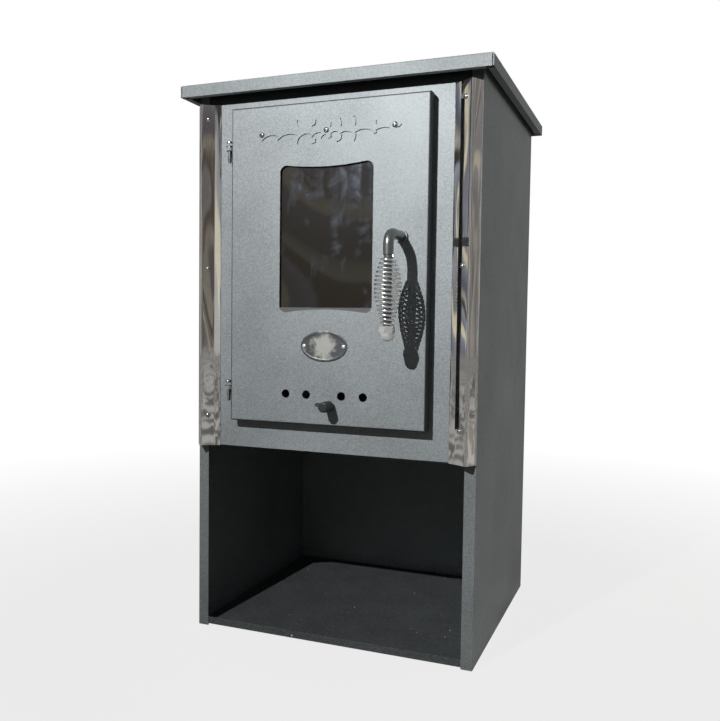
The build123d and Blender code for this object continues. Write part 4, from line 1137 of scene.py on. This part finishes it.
@dataclass
class Door(SubAssembly):
    """Door skin with its ornament, badge, window, inner plate and rope seal.

    badge_profile holds pairs from the field to the back: inset from the edge, height.
    """

    badge_profile: tuple[Pair, ...] = (
        (4.4, 0.62), (3.8, 0.66), (3.2, 0.9), (2.7, 1.0), (0.9, 1.0), (0.35, 0.88), (0.0, 0.6),
        (0.0, 0.0), (2.0, 0.0),
    )
    badge_sheet: float = 1.0
    badge_rings: int = 11
    badge_steps: int = 96
    rivet_half_span: float = 28.0
    rivet_radius: float = 2.6
    rivet_height: float = 1.2
    rivet_shank: float = 1.6
    rivet_length: float = 2.6
    rivet_steps: int = 32
    screw_half_span: float = 93.0
    screw: PanScrew = PanScrew(head_radius=3.7, shank_radius=2.0)
    screw_nut: float = 7.0
    clip_screw: PanScrew = PanScrew(head_radius=3.5, shank_radius=1.95)
    clip_screw_length: float = 0.9
    clip_sheet: float = 1.0
    rope_width: float = 10.0
    rope_bend: float = 6.5
    rope_strands: int = 9
    rope_pitch: float = 26.0
    rope_relief: float = 0.12
    rope_rows: int = 900
    rope_columns: int = 28
    rope_squareness: Pair = (0.8, 0.7)
    turn_samples: int = 10
    sheet_edge: float = 0.35
    small_edge: float = 0.3

    def badge(self) -> Surface:
        """Bare oval plate with a raised border.

        A ring inset by d from the edge is ((a - d) cos t, (b - d) sin t); heights over the
        back follow the border's profile, and the field inside it is flat.

        Returns:
            The closed plate.
        """
        centre, half = middle("badge_plate"), (high("badge_plate") - low("badge_plate")) / 2
        inset, height = np.array(self.badge_profile).T
        share = np.linspace(0, 1, self.badge_rings, endpoint=False)
        cosine, sine = around(angles(self.badge_steps)).T
        across, upward = (
            np.concatenate([(size - inset[0]) * share, size - inset, [0.0]])[:, None]
            for size in half[[0, 2]]
        )
        x, z = centre[0] + across * cosine, centre[2] + upward * sine
        rise = np.concatenate([np.full(len(share), height[0]), height, [0.0]])
        y = np.broadcast_to(high("badge_plate")[1] - rise[:, None], x.shape)
        return grid(np.stack([x, y, z], axis=-1), closed=True)

    def rivets(self) -> list[Surface]:
        """Two domed rivets through the badge: r = R sin q, h = H cos q.

        Returns:
            One closed surface each.
        """
        x, back, z = middle("badge_plate")[0], high("badge_plate")[1], middle("badge_plate")[2]
        turn = np.linspace(0, QUARTER, self.turn_samples)
        shank, tail = self.rivet_shank, -self.rivet_length
        radius = np.append(self.rivet_radius * np.sin(turn), [shank, shank, 0.0])
        height = np.append(self.rivet_height * np.cos(turn), [0.0, tail, tail])
        seats = [(x + side.value * self.rivet_half_span, back - self.badge_sheet, z) for side in Side]
        return [lathe(radius, height, seat, (0, -1, 0), self.rivet_steps) for seat in seats]

    def ornament_screws(self) -> list[Surface]:
        """Three screws that hold the plate behind the cut ornament, with their nuts.

        Returns:
            Heads, shanks and nuts.
        """
        centre, nut_front = middle("ornament_plate"), high("ornament_plate")[1]
        face, end = low("door_skin")[1], high("ornament_screws")[1]
        parts = []
        for x in centre[0] + self.screw_half_span * np.array([-1.0, 0.0, 1.0]):
            parts += self.screw.surfaces((x, face, centre[2]), (0, -1, 0), end - face)
            seat = (x, nut_front, centre[2])
            parts.append(hex_nut(seat, (0, 1, 0), self.screw_nut, end - nut_front))
        return parts

    def rope(self) -> Surface:
        """Braided rope seal laid round the inner door plate.

        The path is a rounded rectangle; the section is a squarish circle whose radius is
        1 - relief * |sin(n w / 2)|^3 of the whole, where the angle w winds along the path.

        Returns:
            The closed ring.
        """
        centre, half = middle("rope_seal"), (high("rope_seal") - low("rope_seal")) / 2
        hub = half[[0, 2]] - self.rope_width / 2 - self.rope_bend
        turn = np.linspace(0, QUARTER, self.turn_samples)
        corners = enumerate(((1, 1), (-1, 1), (-1, -1), (1, -1)))
        loop = [hub * signs + self.rope_bend * around(turn + i * QUARTER) for i, signs in corners]
        loop = np.concatenate([*loop, loop[0][:1]])
        reach = np.append(0, np.cumsum(np.linalg.norm(np.diff(loop, axis=0), axis=1)))
        along = np.linspace(0, reach[-1], self.rope_rows, endpoint=False)
        x, z = (np.interp(along, reach, loop[:, i]) for i in (0, 1))
        path = centre + np.stack([x, np.zeros(len(x)), z], axis=1)
        depth = np.array([0.0, 1.0, 0.0])
        across = np.cross(unit(np.roll(path, -1, axis=0) - np.roll(path, 1, axis=0)), depth)
        angle = angles(self.rope_columns)
        turns = round(reach[-1] / self.rope_pitch)
        wind = angle[None] + 2 * math.pi * turns * (along / reach[-1])[:, None]
        relief = 1 - self.rope_relief * np.abs(np.sin(self.rope_strands * wind / 2)) ** 3
        side, deep = (
            size * np.sign(way) * np.abs(way) ** power
            for size, way, power in zip(
                (self.rope_width / 2, half[1]), around(angle).T, self.rope_squareness
            )
        )
        section = (relief * side)[..., None] * across[:, None] + (relief * deep)[..., None] * depth
        points = path[:, None] + section
        return grid(np.concatenate([points, points[:1]]), closed=True)

    def build(self) -> None:
        """Makes badge, rivets, screws and rope, and eases the sheets."""
        self.add("badge_oval_bare", [self.badge()], "badge_plate")
        self.add("badge_rivet_pair", self.rivets(), "badge_rivets")
        self.add("ornament_screw_set", self.ornament_screws(), "ornament_screws")
        depth = low("clip_screws")[1] + self.clip_sheet
        seats = two_columns("clip_screws", self.clip_screw.head_radius, depth, 2)
        clip_screws = self.clip_screw.row(seats, (0, 1, 0), self.clip_screw_length)
        self.add("clip_screw_set", clip_screws, "clip_screws")
        self.add("door_rope", [self.rope()], "rope_seal")
        self.soften(self.sheet_edge, "door_skin", "door_liner", "glass_clips", "ornament_plate")
        self.soften(self.small_edge, "window_glass", "glass_gasket", "handle_bush")

    def dress(self) -> None:
        """Paint, glass, fibre and bright fasteners."""
        lowest, highest, badge_at = (
            tuple((place * MM).tolist())
            for place in (low("door_skin"), high("door_skin"), middle("badge_plate"))
        )
        # Painted shade on the door skin's folds and side faces, over the paler lit copy of the paint
        shaded_folds = {"name": "heatproof_paint_thin_on_folds", "fold_low": lowest, "fold_high": highest}
        self.paint(replace(LAMP_LIT_PALER_PAINT, **shaded_folds), "door_skin")
        # Painted light: the paler copy of the paint on parts that face the lamp
        self.paint(LAMP_LIT_PALER_PAINT, "ornament_plate", "handle_bush")
        self.paint(replace(AGED_BADGE, worn_at=badge_at), "badge_oval_bare")
        self.paint(ZINC_NUT, "badge_rivet_pair")
        self.paint(BLACKENED_BAR, "ornament_screw_set")
        self.paint(SCREW_STEEL, "clip_screw_set")
        self.paint(MILL_SCALE_STEEL, "door_liner", "glass_clips")
        self.paint(WINDOW_GLASS, "window_glass")
        self.paint(SEAL_FIBRE, "door_rope")
        self.paint(GASKET_TAPE, "glass_gasket")


@dataclass
class AirSlider(SubAssembly):
    """Sliding air plate, its guides and the knob in front of the door."""

    knob_radius: float = 6.9
    knob_length: float = 22.0
    nose: float = 2.2
    stem_radius: float = 2.3
    flutes: int = 16
    flute_depth: float = 0.35
    flute_start: float = 3.0
    flute_end: float = 1.0
    flute_run: float = 1.5
    face_share: float = 0.55
    samples: int = 8
    edge: float = 0.2
    steps: int = 96

    def knob(self) -> Surface:
        """Turned knob with a domed end and shallow flutes.

        r(a, h) = R(h) - depth * grip(h) * (0.5 + 0.5 cos(n a)), grip being 1 between the
        rounded ends.

        Returns:
            Knob and stem as one closed surface.
        """
        centre, front = middle("slider_knob"), low("slider_knob")[1]
        length, wide, stem_end = self.knob_length, self.knob_radius, high("slider_knob")[1] - front
        turn = np.linspace(0, QUARTER, self.samples)
        radius = np.concatenate([
            wide * self.face_share * np.linspace(0, 1, 4), wide - self.nose * (1 - np.sin(turn)),
            np.full(self.samples, wide), [wide - 0.8, wide - 1.6],
            [self.stem_radius, self.stem_radius, 0.0],
        ])
        along = np.concatenate([
            np.zeros(4), self.nose * (1 - np.cos(turn)), np.linspace(4.0, length - 1.5, self.samples),
            [length - 0.2, length, length, stem_end, stem_end],
        ])
        grip = np.clip((along - self.flute_start) / self.flute_run, 0, 1)
        grip *= np.clip((length - self.flute_end - along) / self.flute_run, 0, 1)
        groove = grip[:, None] * (0.5 + 0.5 * np.cos(self.flutes * angles(self.steps)))
        fluted = radius[:, None] - self.flute_depth * groove
        return lathe(fluted, along, (centre[0], front, centre[2]), (0, 1, 0), self.steps)

    def build(self) -> None:
        """Makes the knob and eases the plates."""
        self.add("slider_knob_turned", [self.knob()], "slider_knob")
        self.soften(self.edge, "air_slider", "slider_guides")

    def dress(self) -> None:
        """Black knob, bare steel plates."""
        self.paint(BLACK_PAINT_AND_PAINTED_SHADE, "slider_knob_turned")
        self.paint(MILL_SCALE_STEEL, "air_slider", "slider_guides")


@dataclass
class Handle(SubAssembly):
    """Bent bar, coiled grip, domed nut and the latch behind the door."""

    bar_radius: float = 6.3
    bar_bend: float = 15.0
    stud_radius: float = 5.0
    spindle_radius: float = 4.0
    reach: float = 48.0
    shoulder_drop: float = 27.0
    spring_length: float = 85.0
    spring_turns: int = 16
    turn_steps: int = 44
    spring_wire: float = 2.6
    spring_end: float = 16.2
    spring_middle: float = 33.2
    swell_power: float = 1.2
    skew: float = 0.868
    seat_gap: float = 0.8
    nut_flats: float = 17.0
    nut_height: float = 8.5
    dome_height: float = 9.5
    dome_gap: float = 0.15
    dome_foot: float = 1.0
    chamfer: float = 0.6
    bar_steps: int = 32
    wire_steps: int = 14
    dome_steps: int = 72
    cam_edge: float = 0.5
    fastener_edge: float = 0.4

    def axis(self) -> Triple:
        """Place of the stud along x and y, and the spindle's level."""
        bush = middle("handle_bush")
        return bush[0], high("handle_bush")[1] - self.reach, bush[2]

    def bar(self) -> Surface:
        """Spindle, bent bar and stud, each a circle carried along its line.

        The bend is hub + R (cos q, sin q) for a quarter turn; radii step at the shoulders
        with a small chamfer.

        Returns:
            One closed tube.
        """
        x, front, z = self.axis()
        cam_front, back = low("latch_cam")[1], high("handle_rod")[1]
        bar, spindle, stud, bend = self.bar_radius, self.spindle_radius, self.stud_radius, self.bar_bend
        arc = (front + bend, z - bend) + bend * around(np.linspace(QUARTER, math.pi, 18))
        shoulder, chamfer = z - self.shoulder_drop, self.chamfer
        end = shoulder - self.spring_length - self.nut_height
        spindle_line = [
            back, back - chamfer, cam_front + 0.01, cam_front, cam_front - 0.5, front + self.reach,
        ]
        stud_line = [shoulder + 0.8, shoulder + 0.01, shoulder, end + chamfer, end]
        line = np.array([*[(y, z) for y in spindle_line], *arc, *[(front, level) for level in stud_line]])
        radius = np.concatenate([
            [spindle - chamfer, spindle, spindle, bar - 0.4, bar, bar], np.full(len(arc), bar),
            [bar, bar - 0.7, stud, stud, stud - chamfer],
        ])
        path = np.stack([np.full(len(line), x), line[:, 0], line[:, 1]], axis=1)
        return carried(path, (1.0, 0.0, 0.0), radius, self.bar_steps)

    def grip(self) -> Surface:
        """Barrel-shaped spring round the stud.

        With u from 0 to 1 down the spring: angle = 2 pi n u, radius = end
        + (middle - end) * sin(pi * u^skew)^power, height falls evenly; both ends run on
        straight by one wire diameter.

        Returns:
            The closed wire.
        """
        x, y, z = self.axis()
        wire = self.spring_wire
        top = z - self.shoulder_drop - self.seat_gap - wire / 2
        drop = self.spring_length - 2 * self.seat_gap - wire
        u = np.linspace(0, 1, self.spring_turns * self.turn_steps + 1)
        end, barrel = (self.spring_end - wire) / 2, (self.spring_middle - wire) / 2
        swell = np.abs(np.sin(math.pi * u**self.skew)) ** self.swell_power
        ring = (end + (barrel - end) * swell)[:, None] * around(2 * math.pi * self.spring_turns * u)
        path = np.column_stack([x + ring[:, 0], y + ring[:, 1], top - drop * u])
        first, last = unit(path[1] - path[0]), unit(path[-1] - path[-2])
        run_on = np.array([0.5, 0.94, 1.0])[:, None]
        lead = path[0] - first * wire * run_on[::-1]
        tail = path[-1] + last * wire * run_on
        path = np.concatenate([lead, path, tail])
        radius = np.full(len(path), wire / 2)
        radius[[0, -1]] *= 0.82
        return carried(path, (0.0, 0.0, 1.0), radius, self.wire_steps)

    def nut(self) -> list[Surface]:
        """Hexagonal nut and the dome on a low foot: r = R cos(q)^0.55, h = H sin(q)^1.15.

        Returns:
            The nut's body and its dome.
        """
        x, y, z = self.axis()
        seat = z - self.shoulder_drop - self.spring_length
        body = hex_nut((x, y, seat), (0, 0, -1), self.nut_flats, self.nut_height)
        turn = np.linspace(0, QUARTER, 14)
        radius = (self.nut_flats / 2 - self.dome_gap) * np.cos(turn) ** 0.55
        height = self.dome_height * np.sin(turn) ** 1.15 + self.dome_foot
        height *= self.dome_height / height[-1]
        radius = np.concatenate([[0.0, radius[0], radius[0]], radius])
        height = np.concatenate([[-self.dome_foot, -self.dome_foot, 0.0], height])
        foot = (x, y, seat - self.nut_height)
        return [body, lathe(radius, height, foot, (0, 0, -1), self.dome_steps)]

    def build(self) -> None:
        """Makes bar, spring and nut, and eases the latch."""
        self.add("handle_bar_bent", [self.bar()], "handle_rod")
        self.add("handle_grip_coil", [self.grip()], "handle_spring")
        self.add("handle_domed_nut", self.nut(), "handle_nut")
        self.soften(self.cam_edge, "latch_cam")
        self.soften(self.fastener_edge, "latch_fasteners")

    def dress(self) -> None:
        """Black bar, zinc on the wire and nuts, scale on the cam."""
        self.paint(BLACKENED_BAR, "handle_bar_bent")
        self.paint(ZINC_PLATE, "handle_grip_coil")
        self.paint(ZINC_NUT, "handle_domed_nut")
        self.paint(MILL_SCALE_STEEL, "latch_cam")
        self.paint(SCREW_STEEL, "latch_fasteners")


@dataclass
class Hinges(SubAssembly):
    """Eyes, washers and pins at the door's left edge."""

    places: tuple[str, ...] = ("upper", "lower")
    edge: float = 0.5
    washer_edge: float = 0.25

    def build(self) -> None:
        """Eases every hinge piece."""
        for place in self.places:
            self.soften(self.edge, f"{place}_frame_eye", f"{place}_door_eye", f"{place}_hinge_pin")
            self.soften(self.washer_edge, f"{place}_hinge_washer")

    def dress(self) -> None:
        """Painted eyes, bright pins and washers."""
        for place in self.places:
            # Painted light: the eyes get the paler copy of the paint, as they face the lamp
            self.paint(LAMP_LIT_PALER_PAINT, f"{place}_frame_eye", f"{place}_door_eye")
            self.paint(SCREW_STEEL, f"{place}_hinge_pin", f"{place}_hinge_washer")


def put(
    name: str, data: bpy.types.ID, axes: Sequence[np.ndarray], at: Triple
) -> bpy.types.Object:
    """Puts a camera or lamp in the scene.

    Args:
        name: The object's name.
        data: Its camera or lamp.
        axes: Its own x, y and z directions; it looks along -z.
        at: Its place, in metres.

    Returns:
        The object.
    """
    made = bpy.data.objects.new(name, data)
    columns = np.stack([*axes, np.array(at)], axis=1)
    made.matrix_world = Matrix([*columns.tolist(), [0.0, 0.0, 0.0, 1.0]])
    bpy.context.scene.collection.objects.link(made)
    return made


@dataclass
class Studio:
    """Camera, lamp, world light and floor, none of them part of the stove; sizes in metres.

    room_tones are the bands of the room that metal reflects, and room_parts are plainer
    parts of it: direction, cosine of the part's half angle, tone.
    """

    camera_at: Triple = (0.4175, -1.1352, 0.4404)
    yaw: float = 0.3713
    pitch: float = -0.0518
    roll: float = 0.0134
    lens: float = 39.53
    sensor: float = 36.0
    lamp_at: Triple = (-0.275, -1.433, 1.243)
    lamp_aim: Triple = (0.15, -0.19, 0.69)
    lamp_size: float = 0.016
    lamp_watts: float = 5.2
    lamp_spread: float = 74.0
    side_at: Triple = (2.3, 1.1, 1.0)
    side_aim: Triple = (0.0, 0.0, 0.4)
    side_size: float = 1.4
    side_watts: float = 25.0
    side_spread: float = 180.0
    side_tint: Triple = (1.0, 0.95, 0.89)
    fill: float = 0.068
    fill_tone: str = "F4F8FF"
    floor_half: float = 9.0
    floor_tone: str = "8E8C88"
    fade_span: Pair = (0.5, 1.6)
    fade_share: Pair = (0.8, 1.0)
    gloss_levels: Pair = (0.47, 0.53)
    gloss_share: Pair = (0.09, 0.42)
    band_count: float = 4.6
    band_slant: float = 4.0
    band_drift: float = 2.4
    room_tones: tuple[tuple[float, str], ...] = (
        (0.0, "5B6070"), (0.30, "888D9B"), (0.32, "E2DAC0"), (0.44, "CFC8B2"), (0.46, "6A6F7E"),
        (0.62, "999DA8"), (0.64, "35322F"), (0.74, "4B453E"), (0.76, "B9B8B0"), (0.88, "8F8E8A"),
        (0.90, "55596A"), (1.0, "5B6070"),
    )
    room_parts: tuple[tuple[Triple, float, str], ...] = (
        ((0.035, -0.999, 0.0), 0.972, "D9D8D2"),
        ((0.57, -0.82, 0.0), 0.962, "5A4F44"),
        ((0.95, 0.31, 0.0), 0.95, "8A8480"),
    )
    part_edge: float = 0.006
    part_share: float = 0.6

    def place_camera(self) -> None:
        """Camera turned by yaw, pitch and roll."""
        sideways = np.array([math.cos(self.yaw), math.sin(self.yaw), 0.0])
        level = np.array([-math.sin(self.yaw), math.cos(self.yaw), 0.0])
        forward = level * math.cos(self.pitch) + np.array([0.0, 0.0, math.sin(self.pitch)])
        upward = np.cross(sideways, forward)
        right = sideways * math.cos(self.roll) + upward * math.sin(self.roll)
        top = upward * math.cos(self.roll) - sideways * math.sin(self.roll)
        data = bpy.data.cameras.new("camera")
        data.sensor_width = self.sensor
        data.lens = self.lens
        bpy.context.scene.camera = put("camera", data, (right, top, -forward), self.camera_at)

    def place_lamp(
        self, name: str, at: Triple, aim: Triple, size: float, watts: float, spread: float
    ) -> bpy.types.Object:
        """Disc lamp turned to what it lights.

        Args:
            name: The lamp's name.
            at: Its place, in metres.
            aim: Point that it faces, in metres.
            size: Diameter, in metres.
            watts: Power.
            spread: Full angle of its beam, in degrees.

        Returns:
            The lamp.
        """
        data = bpy.data.lights.new(name, "AREA")
        data.shape = "DISK"
        data.size = size
        data.energy = watts
        data.spread = math.radians(spread)
        back, first, second = basis(tuple(np.array(at) - np.array(aim)))
        return put(name, data, (first, second, back), at)

    def light_world(self) -> None:
        """White to the camera, even soft fill on surfaces, a plain room in reflections.

        The room's tone follows the fractional part of count * z + slant * x + drift * noise.
        """
        world = bpy.data.worlds.new("studio")
        bpy.context.scene.world = world
        world.use_nodes = True
        tree = world.node_tree
        tree.nodes.clear()
        way = add_node(tree, "TexCoord").outputs["Generated"]
        clutter = add_node(tree, "TexNoise", {"Vector": way, "Scale": 4.5, "Detail": 0.0})
        drift = add_node(tree, "Math", (clutter, self.band_drift), operation="MULTIPLY")
        axes = add_node(tree, "SeparateXYZ", (way,))
        bands = drift
        for axis, count in ((0, self.band_slant), (2, self.band_count)):
            terms = (axes.outputs[axis], count, bands)
            bands = add_node(tree, "Math", terms, operation="MULTIPLY_ADD")
        share = add_node(tree, "Math", (bands,), operation="FRACT")
        room = add_node(tree, "ValToRGB", (share,), self.room_tones).outputs[0]
        for toward, edge, tone in self.room_parts:
            facing = add_node(tree, "VectorMath", (way, toward), operation="DOT_PRODUCT")
            soft = (edge - self.part_edge, edge + self.part_edge, 0.0, self.part_share)
            within = add_node(tree, "MapRange", (facing, *soft))
            room = add_node(tree, "Mix", {0: within, 6: room, 7: tone}, data_type="RGBA")
        path = add_node(tree, "LightPath").outputs
        direct = (path["Is Camera Ray"], path["Is Transmission Ray"])
        seen = add_node(tree, "Math", direct, operation="MAXIMUM")
        fill, mirrored, white = (
            add_node(tree, "Background", (colour, strength))
            for colour, strength in ((self.fill_tone, self.fill), (room, 1.0), ("FFFFFF", 1.0))
        )
        light = add_node(tree, "MixShader", (path["Is Glossy Ray"], fill, mirrored))
        final = add_node(tree, "MixShader", (seen, light, white))
        add_node(tree, "OutputWorld", {"Surface": final})

    def lay_floor(self) -> None:
        """Pale matt floor that keeps a faint shadow and fades to white."""
        half = self.floor_half
        mesh = bpy.data.meshes.new("floor")
        corners = [(-half, -half, 0.0), (half, -half, 0.0), (half, half, 0.0), (-half, half, 0.0)]
        mesh.from_pydata(corners, [], [(0, 1, 2, 3)])
        floor = bpy.data.objects.new("floor", mesh)
        bpy.context.scene.collection.objects.link(floor)
        material = bpy.data.materials.new("paper_floor")
        material.use_nodes = True
        tree = material.node_tree
        tree.nodes.clear()
        where = add_node(tree, "TexCoord").outputs["Object"]
        away = add_node(tree, "VectorMath", (where,), operation="LENGTH")
        fade = add_node(tree, "MapRange", (away, *self.fade_span, *self.fade_share))
        path = add_node(tree, "LightPath").outputs
        direct = (path["Is Camera Ray"], path["Is Transmission Ray"])
        seen = add_node(tree, "Math", direct, operation="MAXIMUM")
        patches = add_node(tree, "TexNoise", {"Vector": where, "Scale": 5.0, "Detail": 1.0})
        gloss = add_node(tree, "MapRange", (patches, *self.gloss_levels, *self.gloss_share))
        shown = (path["Is Glossy Ray"], gloss, seen)
        glossed = add_node(tree, "Math", shown, operation="MULTIPLY_ADD", use_clamp=True)
        share = add_node(tree, "Math", (fade, glossed), operation="MULTIPLY")
        matt = add_node(tree, "BsdfDiffuse", {"Color": self.floor_tone})
        white = add_node(tree, "Emission", {"Color": "FFFFFF", "Strength": 1.0})
        mixed = add_node(tree, "MixShader", (share, matt, white))
        add_node(tree, "OutputMaterial", {"Surface": mixed})
        mesh.materials.append(material)

    def set_up(self) -> None:
        """Places everything and keeps the plain view transform."""
        bpy.context.scene.view_settings.view_transform = "Standard"
        self.place_camera()
        key = (self.lamp_at, self.lamp_aim, self.lamp_size, self.lamp_watts, self.lamp_spread)
        self.place_lamp("key", *key)
        soft = (self.side_aim, self.side_size, self.side_watts, self.side_spread)
        for name, sign in (("side_right", 1), ("side_left", -1)):
            lamp = self.place_lamp(name, (sign * self.side_at[0], *self.side_at[1:]), *soft)
            lamp.visible_glossy = False
            lamp.data.color = self.side_tint
        self.light_world()
        self.lay_floor()


def main() -> None:
    """Sets up the studio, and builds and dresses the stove."""
    logging.basicConfig(level=logging.INFO, format="%(message)s")
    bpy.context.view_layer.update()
    Studio().set_up()
    for assembly in (
        Casing(), LogStore(), Firebox(), FlueOutlet(), Door(), AirSlider(), Handle(), Hinges()
    ):
        assembly.build()
        assembly.dress()
        assembly.report()
    bpy.context.view_layer.update()


if __name__ == "__main__":
    main()
